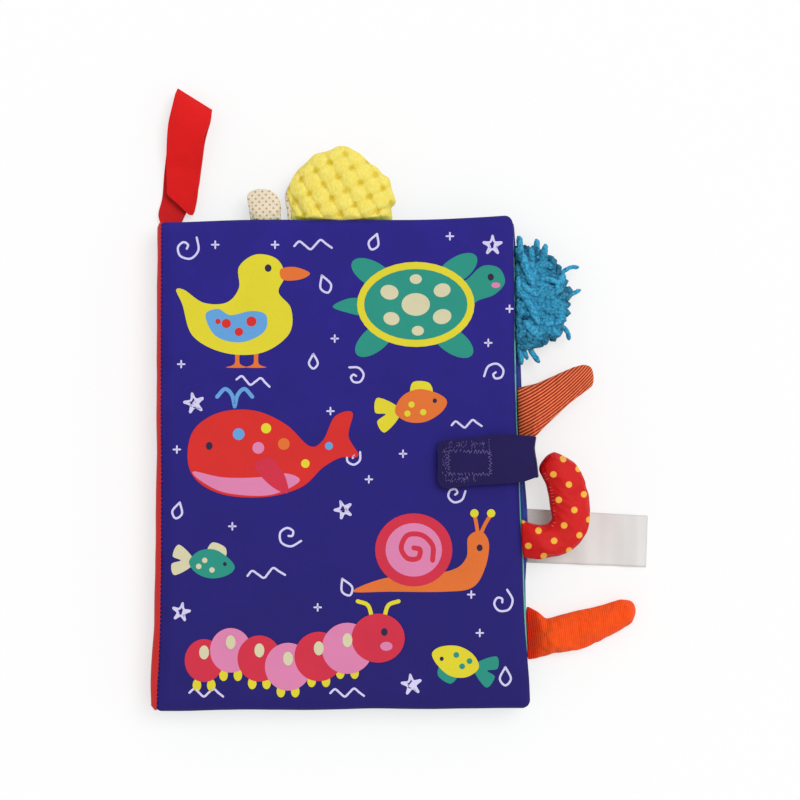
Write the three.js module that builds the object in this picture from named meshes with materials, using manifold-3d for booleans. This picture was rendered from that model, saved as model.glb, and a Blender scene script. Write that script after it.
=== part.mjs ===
// Soft crinkle book for a baby: four padded cloth leaves sewn to a red spine, with stuffed tails,
// a popcorn plush disc, a chenille mop, a dotted tab, a label, a closing strap and a hanging strap.
// It lies on its back cover, with the spine towards -X, the head towards +Y and the front cover up.
// Lengths are in millimetres.

import * as THREE from 'three';
import { mergeVertices } from 'three/addons/utils/BufferGeometryUtils.js';
import Module from 'manifold-3d';

const wasm = await Module();
wasm.setup();

// Cloths and clearances
const fit = 0.3;
const clothThickness = 0.6;
const filmThickness = 0.35;
const strapThickness = 1.2;
const fastenerThickness = 1;
const rootGap = 0.4;

// Leaves: each one is a padded pocket with a flat sewn rim
const spineHeight = 229.4;
const headWidth = 165.4;
const footWidth = 174.2;
const slew = 1.3;
const headRise = 4.2;
const footRise = 1.2;
const spineCorner = 2.4;
const foreCorner = 4;
const leafThickness = 5;
const rimWidth = 2.4;
const puffWidth = 5.2;
const reachStep = 1;
const stripHeadWidth = 1.3;
const stripFootWidth = 2.4;

// Stuffed tails on the fore-edge, each with the place of its root seam as a share of the page
const dottedTail = { rootShare: -0.146, length: 21.1, rise: 38.9, width: 18.8, thickness: 14 };
const ribbedTail = { rootShare: 0.1068, length: 33.5, rise: 18.6, width: 23.6, thickness: 12 };
const knitTail = { rootShare: -0.3413, length: 48.5, rise: 11, width: 19.6, thickness: 11 };

// Plush disc and dotted tab on the head edge
const discRadius = 25.3;
const discPlaceShare = 0.003;
const discSunkShare = 0.3;
const discThickness = 13;
const bumpPitch = 8.1;
const bumpHeight = 0.9;
const bumpLeanShare = 0.15;
const tabPlaceShare = -0.211;
const tabWidth = 16.4;
const tabLength = 14.6;
const tabThickness = 5;

// Chenille mop on the fore-edge
const mopPlaceShare = 0.3405;
const mopHeight = 47;
const mopReach = 19.7;
const mopThickness = 14.4;
const noodleLength = 9;
const noodleRadius = 1.7;
const noodleCount = 44;

// Label in the fore-edge seam
const labelPlaceShare = -0.1447;
const labelLength = 55.3;
const labelWidth = 24.6;
const labelThickness = 0.5;
const labelDrop = 1.9;

// Closing strap over the fore-edge
const strapPlaceShare = 0.0166;
const strapWidth = 20;
const strapLeanShare = -0.043;
const strapBulge = 3.7;
const flapLength = 44.5;
const flapCorner = 3;
const patchLength = 21;
const patchWidth = 13;
const patchCorner = 1.5;
const patchInset = 4.2;

// Hanging strap at the head of the spine
const hangWidth = 17.5;
const hangLength = 62.4;
const hangLoopHeight = 9;
const hangPatchLength = 14;
const hangPatchWidth = 10;

// Facets and root seams
const cornerSteps = 4;
const tailStations = 13;
const tailSides = 6;
const rootHalfThickness = 1.3;
const tailRootSlopeShare = 0.6;
const puffRootSlopeShare = 1;
const thinnestShare = 0.2;
const overrun = 2;

const leafNames = ['back_cover', 'leaf_2', 'leaf_1', 'front_cover'];
const book = new THREE.Group();

// Adds one named piece with its own material
function addPiece(name, geometry, color, roughness) {
  const material = new THREE.MeshStandardMaterial({ color, roughness, metalness: 0 });
  const piece = new THREE.Mesh(geometry, material);
  piece.name = name;
  book.add(piece);
  return piece;
}

function signedVolume(positions, indices) {
  let volume = 0;
  const corner = [new THREE.Vector3(), new THREE.Vector3(), new THREE.Vector3()];
  for (let start = 0; start < indices.length; start += corner.length) {
    corner.forEach((point, place) => {
      point.fromArray(positions, indices[start + place] * 3);
    });
    volume += corner[0].dot(corner[1].clone().cross(corner[2]));
  }
  return volume;
}

// Joins like rings of points into one closed skin, with a flat strip of facets across each end ring
function loftRings(rings) {
  const count = rings[0].length;
  const positions = rings.flat().flatMap((point) => [point.x, point.y, point.z]);
  const indices = [];
  for (let ring = 0; ring + 1 < rings.length; ring += 1) {
    for (let step = 0; step < count; step += 1) {
      const here = ring * count + step;
      const next = ring * count + (step + 1) % count;
      indices.push(here, next, next + count);
      indices.push(here, next + count, here + count);
    }
  }
  const last = (rings.length - 1) * count;
  for (let step = 0; step + 1 < count / 2; step += 1) {
    const far = count - 1 - step;
    indices.push(far, step + 1, step);
    indices.push(far, far - 1, step + 1);
    indices.push(last + step, last + step + 1, last + far);
    indices.push(last + step + 1, last + far - 1, last + far);
  }
  if (signedVolume(positions, indices) < 0) {
    indices.reverse();
  }
  const geometry = new THREE.BufferGeometry();
  geometry.setAttribute('position', new THREE.Float32BufferAttribute(positions, 3));
  geometry.setIndex(indices);
  geometry.computeVertexNormals();
  return geometry;
}

function toSolid(geometry) {
  const bare = geometry.clone();
  bare.deleteAttribute('normal');
  bare.deleteAttribute('uv');
  const merged = mergeVertices(bare);
  const vertProperties = new Float32Array(merged.attributes.position.array);
  const triVerts = new Uint32Array(merged.index.array);
  return new wasm.Manifold(new wasm.Mesh({ numProp: 3, vertProperties, triVerts }));
}

function fromSolid(solid) {
  const mesh = solid.getMesh();
  const geometry = new THREE.BufferGeometry();
  geometry.setAttribute('position', new THREE.BufferAttribute(mesh.vertProperties, 3));
  geometry.setIndex(new THREE.BufferAttribute(mesh.triVerts, 1));
  geometry.computeVertexNormals();
  return geometry;
}

// Reads a share table of [place, value] rows at one place, with straight lines between the rows
function readShares(shares, place) {
  const next = shares.findIndex((row) => row[0] >= place);
  if (next <= 0) {
    return next === 0 ? shares[0][1] : shares.at(-1)[1];
  }
  const [lowPlace, lowValue] = shares[next - 1];
  const [highPlace, highValue] = shares[next];
  return THREE.MathUtils.mapLinear(place, lowPlace, highPlace, lowValue, highValue);
}

// Places on the leaves
const headLeft = -headWidth / 2 - slew;
const headRight = headWidth / 2 - slew;
const footLeft = -footWidth / 2 + slew;
const footRight = footWidth / 2 + slew;
const spineTop = spineHeight / 2;

function leafBase(leaf) {
  return leafNames.indexOf(leaf) * (leafThickness + fit);
}

function leafMiddle(leaf) {
  return leafBase(leaf) + leafThickness / 2;
}

function leafReach(leaf) {
  return (leafNames.length - 1 - leafNames.indexOf(leaf)) * reachStep;
}

// The fore-edge leans, so its X is worked out at a height on the page
function foreEdgeX(leaf, y) {
  const rise = THREE.MathUtils.mapLinear(y, footRise - spineTop, spineTop + headRise, footRight, headRight);
  return rise + leafReach(leaf);
}

function headEdgeY(x) {
  return THREE.MathUtils.mapLinear(x, headLeft, headRight, spineTop, spineTop + headRise);
}

function leafCorners(leaf) {
  const reach = leafReach(leaf);
  return [
    { point: new THREE.Vector2(footLeft, -spineTop), radius: spineCorner },
    { point: new THREE.Vector2(footRight + reach, footRise - spineTop), radius: foreCorner },
    { point: new THREE.Vector2(headRight + reach, spineTop + headRise), radius: foreCorner },
    { point: new THREE.Vector2(headLeft, spineTop), radius: spineCorner },
  ];
}

// The leaf outline moved in by an inset, with rounded corners, at one height
function leafRing(leaf, inset, height) {
  const corners = leafCorners(leaf);
  const count = corners.length;
  const moved = corners.map((corner, place) => {
    const before = corner.point.clone().sub(corners[(place + count - 1) % count].point).normalize();
    const after = corners[(place + 1) % count].point.clone().sub(corner.point).normalize();
    const inward = new THREE.Vector2(-before.y - after.y, before.x + after.x);
    return corner.point.clone().addScaledVector(inward, inset / (1 + before.dot(after)));
  });
  const outline = new THREE.Path();
  corners.forEach((corner, place) => {
    const here = moved[place];
    const radius = Math.max(corner.radius - inset, spineCorner / 2);
    const towardBefore = moved[(place + count - 1) % count].clone().sub(here).setLength(radius);
    const towardAfter = moved[(place + 1) % count].clone().sub(here).setLength(radius);
    const enter = here.clone().add(towardBefore);
    const leave = here.clone().add(towardAfter);
    if (place === 0) {
      outline.moveTo(enter.x, enter.y);
    } else {
      outline.lineTo(enter.x, enter.y);
    }
    outline.quadraticCurveTo(here.x, here.y, leave.x, leave.y);
  });
  return outline.getPoints(cornerSteps).map((point) => new THREE.Vector3(point.x, point.y, height));
}

// How cloth rises from the sewn rim to the flat of the page
const puffShares = [[0, 0], [0.22, 0.5], [0.58, 0.88], [1, 1]];

// One cloth side of a leaf: a shallow tray with a flat rim, open towards the other side
function clothSide(leaf, side) {
  const middle = leafMiddle(leaf);
  const half = leafThickness / 2;
  const seam = fit / 2;
  const outer = puffShares.map(([place, rise]) => [
    rimWidth + puffWidth * place,
    seam + clothThickness + (half - seam - clothThickness) * rise,
  ]);
  const inner = puffShares.map(([place, rise]) => [
    rimWidth + clothThickness + puffWidth * place,
    seam + (half - seam - clothThickness) * rise,
  ]);
  const profile = [...outer.reverse(), [0, seam + clothThickness], [0, seam], ...inner];
  return loftRings(profile.map(([inset, rise]) => leafRing(leaf, inset, middle + side * rise)));
}

// The crinkle film and the wadding lie flat between the two cloth sides
const fillInset = rimWidth + clothThickness + puffWidth + fit;

function crinkleFilm(leaf) {
  const low = leafBase(leaf) + clothThickness + fit;
  return loftRings([low, low + filmThickness].map((height) => leafRing(leaf, fillInset, height)));
}

function wadding(leaf) {
  const low = leafBase(leaf) + clothThickness + fit + filmThickness + fit;
  const high = leafBase(leaf) + leafThickness - clothThickness - fit;
  return loftRings([low, high].map((height) => leafRing(leaf, fillInset, height)));
}

// One fold of the red spine cloth, rolled round the bound edge of its leaf
const rollShares = [
  [0, 0], [0.45, 0.14], [0.82, 0.28], [1, 0.42], [1, 0.58], [0.82, 0.72], [0.45, 0.86], [0, 1],
];

function spineStrip(leaf) {
  const low = leafBase(leaf);
  const ends = [
    { y: fit - spineTop, x: footLeft - fit, width: stripFootWidth },
    { y: spineTop - fit, x: headLeft - fit, width: stripHeadWidth },
  ];
  return loftRings(ends.map((end) => rollShares.map(([out, up]) => (
    new THREE.Vector3(end.x - end.width * out, end.y, low + leafThickness * up)
  ))));
}

const leafColors = { back_cover: 0x2b2378, leaf_2: 0x27306f, leaf_1: 0x1f8f7d, front_cover: 0x2d2382 };

for (const leaf of leafNames) {
  addPiece(`${leaf}_top_cloth`, clothSide(leaf, 1), leafColors[leaf], 0.8);
  addPiece(`${leaf}_bottom_cloth`, clothSide(leaf, -1), leafColors[leaf], 0.8);
  addPiece(`${leaf}_crinkle_film`, crinkleFilm(leaf), 0xd9dee2, 0.25);
  addPiece(`${leaf}_wadding`, wadding(leaf), 0xf2f0ea, 0.95);
  addPiece(`${leaf}_spine_strip`, spineStrip(leaf), 0xc8201c, 0.75);
}

// A stuffed tail follows a centre line in shares of its length and rise. It is thin at the root seam, where
// it bends, closes in a round tip, and rises so far that it rests on the ground where it would dip below it.
function tailShape(tail, leaf, pathShares, widthShares) {
  const halfWidth = tail.width / 2;
  const rootY = spineHeight * tail.rootShare;
  const rootX = foreEdgeX(leaf, rootY - halfWidth) + rootGap;
  const middle = leafMiddle(leaf);
  const line = new THREE.CatmullRomCurve3(pathShares.map(([out, up]) => (
    new THREE.Vector3(rootX + tail.length * out, rootY + tail.rise * up, middle)
  )));
  const length = line.getLength();
  const tipRadius = halfWidth * readShares(widthShares, 1);
  const stations = [];
  for (let step = 0; step < tailStations; step += 1) {
    const place = Math.sin(step / (tailStations - 1) * Math.PI / 2);
    const centre = line.getPointAt(place);
    const fromRoot = place * length;
    const turnShare = Math.min(fromRoot / halfWidth, 1);
    const along = new THREE.Vector3(1, 0, 0).lerp(line.getTangentAt(place), turnShare);
    const fromTip = Math.min((length - fromRoot) / tipRadius, 1);
    const roundShare = Math.max(Math.sqrt(1 - (1 - fromTip) ** 2), thinnestShare);
    const thin = Math.min(tail.thickness / 2 * roundShare, rootHalfThickness + fromRoot * tailRootSlopeShare);
    const lift = Math.max(thin - middle, 0);
    stations.push({
      centre: centre.add(new THREE.Vector3(0, 0, lift)),
      across: new THREE.Vector3(-along.y, along.x, 0).normalize(),
      width: halfWidth * readShares(widthShares, place) * roundShare,
      height: thin,
    });
  }
  return stations;
}

function pointOnSection(station, angle, wall, rise) {
  const across = (station.width - wall) * Math.cos(angle);
  const up = (station.height - wall - Math.abs(rise)) * Math.sin(angle);
  return station.centre.clone()
    .addScaledVector(station.across, across)
    .add(new THREE.Vector3(0, 0, rise + Math.sign(rise) * up));
}

// One half of a tail's skin, sewn to the other half along its edge
function tailSkin(stations, side) {
  return loftRings(stations.map((station) => {
    const wall = Math.min(clothThickness, station.height / 2);
    const ring = [];
    for (let step = 0; step <= tailSides; step += 1) {
      ring.push(pointOnSection(station, step / tailSides * Math.PI, 0, side * fit / 2));
    }
    for (let step = tailSides; step >= 0; step -= 1) {
      ring.push(pointOnSection(station, step / tailSides * Math.PI, wall, side * fit / 2));
    }
    return ring;
  }));
}

// The stuffing fills the skin from the first station that has room for it
function tailStuffing(stations) {
  const wall = clothThickness + fit;
  const roomy = stations.filter((station) => station.height > 2 * wall + fit);
  return loftRings(roomy.map((station) => {
    const ring = [];
    for (let step = 0; step < 2 * tailSides; step += 1) {
      const angle = step / tailSides * Math.PI;
      const across = (station.width - wall) * Math.cos(angle);
      const up = (station.height - wall - fit) * Math.sin(angle);
      const middle = station.centre.clone().addScaledVector(station.across, across);
      ring.push(middle.add(new THREE.Vector3(0, 0, up)));
    }
    return ring;
  }));
}

function addTail(name, stations, color) {
  addPiece(`${name}_top_skin`, tailSkin(stations, 1), color, 0.7);
  addPiece(`${name}_bottom_skin`, tailSkin(stations, -1), color, 0.7);
  addPiece(`${name}_stuffing`, tailStuffing(stations), 0xf4f1ea, 0.95);
}

const dottedPathShares = [
  [0, 0], [0.25, -0.03], [0.64, 0], [0.93, 0.14], [1, 0.42], [0.93, 0.66], [0.78, 0.86], [0.62, 1],
];
const dottedWidthShares = [[0, 0.88], [0.3, 0.86], [0.5, 1], [0.8, 1], [1, 0.95]];
addTail('dotted_tail', tailShape(dottedTail, 'front_cover', dottedPathShares, dottedWidthShares), 0xd3222a);

const ribbedPathShares = [[0, 0], [0.18, 0.1], [0.37, 0.33], [0.5, 0.48], [0.67, 0.7], [0.88, 0.91], [1, 1]];
const ribbedWidthShares = [[0, 1], [0.2, 0.88], [0.45, 0.73], [0.7, 0.58], [0.85, 0.5], [1, 0.44]];
addTail('ribbed_tail', tailShape(ribbedTail, 'leaf_1', ribbedPathShares, ribbedWidthShares), 0xd9622a);

const knitPathShares = [[0, 0], [0.1, -0.1], [0.28, -0.05], [0.52, 0.22], [0.71, 0.56], [0.87, 0.85], [1, 1]];
const knitWidthShares = [[0, 1.12], [0.14, 1], [0.3, 0.92], [0.55, 0.92], [0.8, 0.78], [1, 0.62]];
addTail('knit_tail', tailShape(knitTail, 'back_cover', knitPathShares, knitWidthShares), 0xf2551e);

// A puff is a stuffed flat shape: its outline shrinks towards a centre while the cloth domes up
const domeShares = [0.15, 0.48, 0.74, 0.91, 1];
const fineShares = [0.05, 0.14, 0.24, 0.34, 0.44, 0.54, 0.63, 0.72, 0.8, 0.87, 0.94, 1];

function domeRise(share) {
  return Math.sqrt(1 - Math.min(share, 1) ** 2.6);
}

// How far the cloth stands over the seam: low beside the root, where the puff bends
function puffRise(puff, place, share, ripple) {
  const full = clothThickness + (puff.thickness / 2 - fit / 2 - clothThickness) * domeRise(share);
  const room = rootHalfThickness + puff.fromRoot(place) * puffRootSlopeShare;
  return Math.min(full + ripple, room);
}

function puffRing(puff, share, wall, side) {
  return puff.outline.map((point) => {
    const place = puff.centre.clone().lerp(point, share * (1 - wall / puff.half));
    const ripple = wall > 0 || !puff.ripple ? 0 : puff.ripple(place) * domeRise(share);
    const rise = Math.max(puffRise(puff, place, share, ripple) - wall, wall > 0 ? 0 : clothThickness);
    return new THREE.Vector3(place.x, place.y, puff.middle + side * (fit / 2 + rise));
  });
}

// One half of a puff's skin
function puffSkin(puff, side) {
  const outer = (puff.ripple ? fineShares : domeShares).map((share) => puffRing(puff, share, 0, side));
  const inner = domeShares.map((share) => puffRing(puff, share, clothThickness, side));
  return loftRings([...outer, ...inner.reverse()]);
}

function puffStuffing(puff) {
  const wall = clothThickness + fit;
  const halves = [1, -1].map((side) => domeShares.slice(0, -1).map((share) => (
    puffRing(puff, share, wall, side)
  )));
  return loftRings([...halves[0], ...halves[1].reverse()]);
}

function closedOutline(path, count) {
  const points = path.getSpacedPoints(count);
  points.pop();
  return points;
}

// A puff's outline leans with the edge that it is sewn to
function leanWithHead(point, x) {
  return new THREE.Vector2(point.x, point.y + headEdgeY(point.x) - headEdgeY(x));
}

function leanWithForeEdge(point, y, leaf) {
  return new THREE.Vector2(point.x + foreEdgeX(leaf, point.y) - foreEdgeX(leaf, y), point.y);
}

// Popcorn plush disc: a round face cut off by the head edge of its leaf, with bumps in rows that lean
const discX = headWidth * discPlaceShare;
const discRoot = headEdgeY(discX) + rootGap;
const discCentreY = discRoot + discRadius * discSunkShare;
const discRootAngle = Math.asin(discSunkShare);
const discPath = new THREE.Path();
discPath.absarc(discX, discCentreY, discRadius, -discRootAngle, Math.PI + discRootAngle, false);
discPath.closePath();
const discSteps = 42;

function popcornBump(place) {
  const lean = Math.PI * bumpLeanShare;
  const row = (place.y - discCentreY) * Math.cos(lean) - (place.x - discX) * Math.sin(lean);
  const column = (place.x - discX) * Math.cos(lean) + (place.y - discCentreY) * Math.sin(lean);
  const waves = [row, column].map((distance) => Math.cos(2 * Math.PI * distance / bumpPitch));
  return bumpHeight * (waves[0] + waves[1]) / 2;
}

const disc = {
  outline: closedOutline(discPath, discSteps).map((point) => leanWithHead(point, discX)),
  centre: new THREE.Vector2(discX, discCentreY),
  half: discRadius,
  thickness: discThickness,
  middle: leafMiddle('leaf_1'),
  fromRoot: (place) => place.y - headEdgeY(place.x) - rootGap,
  ripple: popcornBump,
};
addPiece('popcorn_face', puffSkin(disc, 1), 0xe9dd3c, 0.95);
addPiece('popcorn_back', puffSkin({ ...disc, ripple: null }, -1), 0xe0d3bb, 0.8);
addPiece('popcorn_stuffing', puffStuffing({ ...disc, ripple: null }), 0xf4f1ea, 0.95);

// Dotted cotton tab with a round end, on the same leaf
const tabX = headWidth * tabPlaceShare;
const tabRoot = headEdgeY(tabX) + rootGap;
const tabHalf = tabWidth / 2;
const tabShoulder = tabRoot + tabLength - tabHalf;
const tabPath = new THREE.Path();
tabPath.moveTo(tabX + tabHalf, tabRoot);
tabPath.lineTo(tabX + tabHalf, tabShoulder);
tabPath.absarc(tabX, tabShoulder, tabHalf, 0, Math.PI, false);
tabPath.lineTo(tabX - tabHalf, tabRoot);
tabPath.closePath();
const tabSteps = 18;
const tab = {
  outline: closedOutline(tabPath, tabSteps).map((point) => leanWithHead(point, tabX)),
  centre: new THREE.Vector2(tabX, (tabRoot + tabShoulder) / 2),
  half: tabHalf,
  thickness: tabThickness,
  middle: leafMiddle('leaf_1'),
  fromRoot: (place) => place.y - headEdgeY(place.x) - rootGap,
};
addPiece('dotted_tab_front', puffSkin(tab, 1), 0xe0d3bb, 0.8);
addPiece('dotted_tab_back', puffSkin(tab, -1), 0xe0d3bb, 0.8);

// Chenille mop: half an oval on the fore-edge, its upper skin set with noodles of yarn
const mopY = spineHeight * mopPlaceShare;
const mopRoot = foreEdgeX('leaf_2', mopY) + rootGap;
const mopPath = new THREE.Path();
mopPath.absellipse(mopRoot, mopY, mopReach, mopHeight / 2, -Math.PI / 2, Math.PI / 2, false, 0);
mopPath.closePath();
const mopSteps = 28;
const mopCentreShare = 0.3;
const mop = {
  outline: closedOutline(mopPath, mopSteps).map((point) => leanWithForeEdge(point, mopY, 'leaf_2')),
  centre: new THREE.Vector2(mopRoot + mopReach * mopCentreShare, mopY),
  half: mopReach,
  thickness: mopThickness,
  middle: leafMiddle('leaf_2'),
  fromRoot: (place) => place.x - foreEdgeX('leaf_2', place.y) - rootGap,
};

// A noodle is a short round-ended roll of yarn that leans outwards from the mop's centre and its root
const noodleShares = [[0, 0], [0.9, 0.04], [1, 0.2], [1, 0.8], [0.7, 0.95], [0, 1]];
const noodleSides = 6;
const goldenShare = (Math.sqrt(5) - 1) / 2;
const noodleLiftShare = 0.25;
const noodleTiltShare = 0.12;
const noodleDrapeShare = 0.6;
const noodleFreeShare = 0.7;

function noodleAt(place, height, outward) {
  const profile = noodleShares.map(([out, along]) => (
    new THREE.Vector2(noodleRadius * out, noodleLength * along)
  ));
  const noodle = new THREE.LatheGeometry(profile, noodleSides);
  noodle.applyQuaternion(new THREE.Quaternion().setFromUnitVectors(new THREE.Vector3(0, 1, 0), outward));
  noodle.translate(place.x, place.y, height);
  return toSolid(noodle);
}

function mopTop() {
  const cavity = toSolid(puffSkinSolid(mop, clothThickness));
  let solid = toSolid(puffSkinSolid(mop, 0));
  for (let count = 0; count < noodleCount; count += 1) {
    const share = Math.sqrt((count + 1 / 2) / noodleCount) * (1 - clothThickness / mopReach);
    const rim = mop.outline[Math.floor((count * goldenShare % 1) * mop.outline.length)];
    const place = mop.centre.clone().lerp(rim, share);
    if (mop.fromRoot(place) < noodleLength * noodleFreeShare) {
      continue;
    }
    const rise = Math.max(puffRise(mop, place, share, 0) - noodleRadius / 2, noodleRadius + fit);
    const flat = rim.clone().sub(mop.centre).normalize().multiplyScalar(share);
    const lean = noodleLiftShare * (1 - share) + noodleTiltShare;
    const drape = noodleDrapeShare * (1 - share);
    const outward = new THREE.Vector3(flat.x + drape, flat.y, lean).normalize();
    solid = solid.add(noodleAt(place, mop.middle + rise, outward));
  }
  return fromSolid(solid.subtract(cavity));
}

// A solid half puff from just below or at its seam up to its cloth
function puffSkinSolid(puff, wall) {
  const dome = domeShares.map((share) => puffRing(puff, share, wall, 1));
  const base = wall > 0 ? puff.middle - overrun : puff.middle + fit / 2;
  const foot = dome.at(-1).map((point) => new THREE.Vector3(point.x, point.y, base));
  return loftRings([...dome, foot]);
}

addPiece('chenille_top', mopTop(), 0x2f93bd, 0.95);
addPiece('chenille_back', puffSkin(mop, -1), 0x2a86ad, 0.95);
addPiece('chenille_stuffing', puffStuffing(mop), 0xf4f1ea, 0.95);

// A ribbon has a left and a right edge, and its thickness stands across the way it runs
function ribbon(stations, thickness) {
  const middles = stations.map(([left, right]) => left.clone().add(right).multiplyScalar(1 / 2));
  return loftRings(stations.map(([left, right], place) => {
    const before = middles[Math.max(place - 1, 0)];
    const after = middles[Math.min(place + 1, middles.length - 1)];
    const across = right.clone().sub(left);
    const up = across.cross(after.clone().sub(before)).normalize().multiplyScalar(thickness / 2);
    return [left.clone().add(up), right.clone().add(up), right.clone().sub(up), left.clone().sub(up)];
  }));
}

// Bare satin label, sewn into the fore-edge seam of the back cover and drooping to the surface
const labelY = spineHeight * labelPlaceShare;
const labelRoot = foreEdgeX('back_cover', labelY - labelWidth / 2) + fit;
const labelShares = [[0, 1], [0.12, 0.8], [0.3, 0.45], [0.6, 0.14], [1, 0]];
const labelSkewShare = -0.058;
const labelRest = leafMiddle('back_cover') - labelDrop;

const labelStations = labelShares.map(([along, height]) => {
  const x = labelRoot + labelLength * along;
  const middleY = labelY + labelLength * along * labelSkewShare / 2;
  return [1, -1].map((side) => (
    new THREE.Vector3(x, middleY + side * labelWidth / 2, labelRest + labelDrop * height)
  ));
});
addPiece('label', ribbon(labelStations, labelThickness), 0xe6e6ea, 0.35);

// Closing strap: a riser sewn to the back cover, and a flap that lies over the front cover
const strapY = spineHeight * strapPlaceShare;
const coverTop = leafBase('front_cover') + leafThickness;
const patchLow = coverTop + fit;
const hookLow = patchLow + fastenerThickness + fit;
const flapMiddle = hookLow + fastenerThickness + fit + strapThickness / 2;
const strapRoot = foreEdgeX('back_cover', strapY - strapWidth / 2) + fit;
const strapOut = strapRoot + strapBulge;
const strapFold = strapOut - strapThickness;

function strapStation(x, z, widthShare) {
  const middleY = strapY + (strapOut - x) * strapLeanShare;
  return [1, -1].map((side) => new THREE.Vector3(x, middleY + side * strapWidth / 2 * widthShare, z));
}

const riserShares = [
  [0, 0], [0.35, 0.03], [0.75, 0.12], [0.96, 0.3], [1, 0.5], [0.98, 0.72], [0.93, 0.87], [0.85, 0.95],
];
const riserLow = leafMiddle('back_cover');
const riserStations = riserShares.map(([out, up]) => (
  strapStation(strapRoot + strapBulge * out, riserLow + (flapMiddle - riserLow) * up, 1)
));
addPiece('strap_riser', ribbon(riserStations, strapThickness), 0x241a5c, 0.8);

const flapTip = strapFold - fit - flapLength;
const flapCornerShares = [[0, 0.8], [0.35, 0.93], [1, 1]];
const flapSag = 0.2;
const flapShares = [[0.1, 0.4], [0.3, 0.8], [0.6, 1], [0.85, 0.6], [1, 0]];
const flapStations = [
  ...flapCornerShares.map(([along, width]) => strapStation(flapTip + flapCorner * along, flapMiddle, width)),
  ...flapShares.map(([along, sag]) => (
    strapStation(flapTip + flapCorner + (flapLength - flapCorner) * along, flapMiddle + flapSag * sag, 1)
  )),
];
addPiece('strap_flap', ribbon(flapStations, strapThickness), 0x241a5c, 0.8);

// Hook and loop patches are flat plates with rounded corners
function plate(length, width, corner, thickness) {
  const shape = new THREE.Shape();
  const halfLength = length / 2;
  const halfWidth = width / 2;
  shape.moveTo(-halfLength + corner, -halfWidth);
  shape.lineTo(halfLength - corner, -halfWidth);
  shape.quadraticCurveTo(halfLength, -halfWidth, halfLength, -halfWidth + corner);
  shape.lineTo(halfLength, halfWidth - corner);
  shape.quadraticCurveTo(halfLength, halfWidth, halfLength - corner, halfWidth);
  shape.lineTo(-halfLength + corner, halfWidth);
  shape.quadraticCurveTo(-halfLength, halfWidth, -halfLength, halfWidth - corner);
  shape.lineTo(-halfLength, -halfWidth + corner);
  shape.quadraticCurveTo(-halfLength, -halfWidth, -halfLength + corner, -halfWidth);
  const facets = { depth: thickness, bevelEnabled: false, curveSegments: cornerSteps };
  return new THREE.ExtrudeGeometry(shape, facets);
}

const patchX = flapTip + patchInset + patchLength / 2;
const patchY = strapY + (strapOut - patchX) * strapLeanShare;

const loopPatch = addPiece(
  'loop_patch', plate(patchLength, patchWidth, patchCorner, fastenerThickness), 0x2b2368, 0.95,
);
loopPatch.position.set(patchX, patchY, patchLow);
const hookPatch = addPiece(
  'hook_patch', plate(patchLength, patchWidth, patchCorner, fastenerThickness), 0x2b2368, 0.9,
);
hookPatch.position.set(patchX, patchY, hookLow);

// Hanging strap: a lower layer from the head seam, and an upper layer folded back over it at a slant.
// Each row holds the left and the right edge, as shares [across, along] of the strap's width and length,
// and the height as a share of the loop.
const hangRootY = spineTop + rootGap;
const hangLow = strapThickness / 2 + fit;
const lowerShares = [
  [[0.02, 0.002], [0.6, 0.01], 0.2],
  [[-0.04, 0.077], [0.73, 0.09], 0.1],
  [[0.06, 0.2], [1.02, 0.24], 0],
  [[0.11, 0.375], [1.13, 0.42], 0],
  [[0.2, 0.6], [1.22, 0.6], 0],
  [[0.25, 0.725], [1.3, 0.69], 0.03],
  [[0.38, 0.88], [1.38, 0.76], 0.14],
  [[0.48, 0.97], [1.43, 0.81], 0.4],
];
const upperShares = [
  [[0.49, 0.99], [1.44, 0.82], 0.56],
  [[0.44, 0.93], [1.42, 0.78], 0.86],
  [[0.38, 0.86], [1.38, 0.73], 1],
  [[0.27, 0.725], [1.25, 0.64], 0.98],
  [[0.22, 0.57], [1.21, 0.53], 0.78],
  [[0.2, 0.425], [1.13, 0.4], 0.52],
  [[0.21, 0.26], [1.06, 0.24], 0.5],
  [[0.32, 0.19], [1.02, 0.16], 0.5],
  [[0.66, 0.11], [0.97, 0.09], 0.5],
];

function hangStations(shares) {
  return shares.map(([left, right, height]) => [left, right].map(([across, along]) => new THREE.Vector3(
    headLeft + hangWidth * across,
    hangRootY + hangLength * along,
    hangLow + hangLoopHeight * height,
  )));
}

addPiece('hang_strap_lower', ribbon(hangStations(lowerShares), strapThickness), 0xd01b20, 0.75);
addPiece('hang_strap_upper', ribbon(hangStations(upperShares), strapThickness), 0xd81e22, 0.75);

const hangPatchSpotShares = [0.64, 0.33];
const hangPatchX = headLeft + hangWidth * hangPatchSpotShares[0];
const hangPatchY = hangRootY + hangLength * hangPatchSpotShares[1];
const hangLoopLow = hangLow + strapThickness / 2 + fit;
const hangPatchThickness = (hangLoopHeight / 2 - strapThickness - 3 * fit) / 2;

const hangLoopPatch = addPiece(
  'hang_loop_patch', plate(hangPatchWidth, hangPatchLength, patchCorner, hangPatchThickness), 0xc21a1f, 0.95,
);
hangLoopPatch.position.set(hangPatchX, hangPatchY, hangLoopLow);
const hangHookPatch = addPiece(
  'hang_hook_patch', plate(hangPatchWidth, hangPatchLength, patchCorner, hangPatchThickness), 0xc21a1f, 0.9,
);
hangHookPatch.position.set(hangPatchX, hangPatchY, hangLoopLow + hangPatchThickness + fit);

export default book;
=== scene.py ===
import math
import random
import bmesh
import bpy
from mathutils import Matrix, Vector, noise
from mathutils.bvhtree import BVHTree


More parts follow.
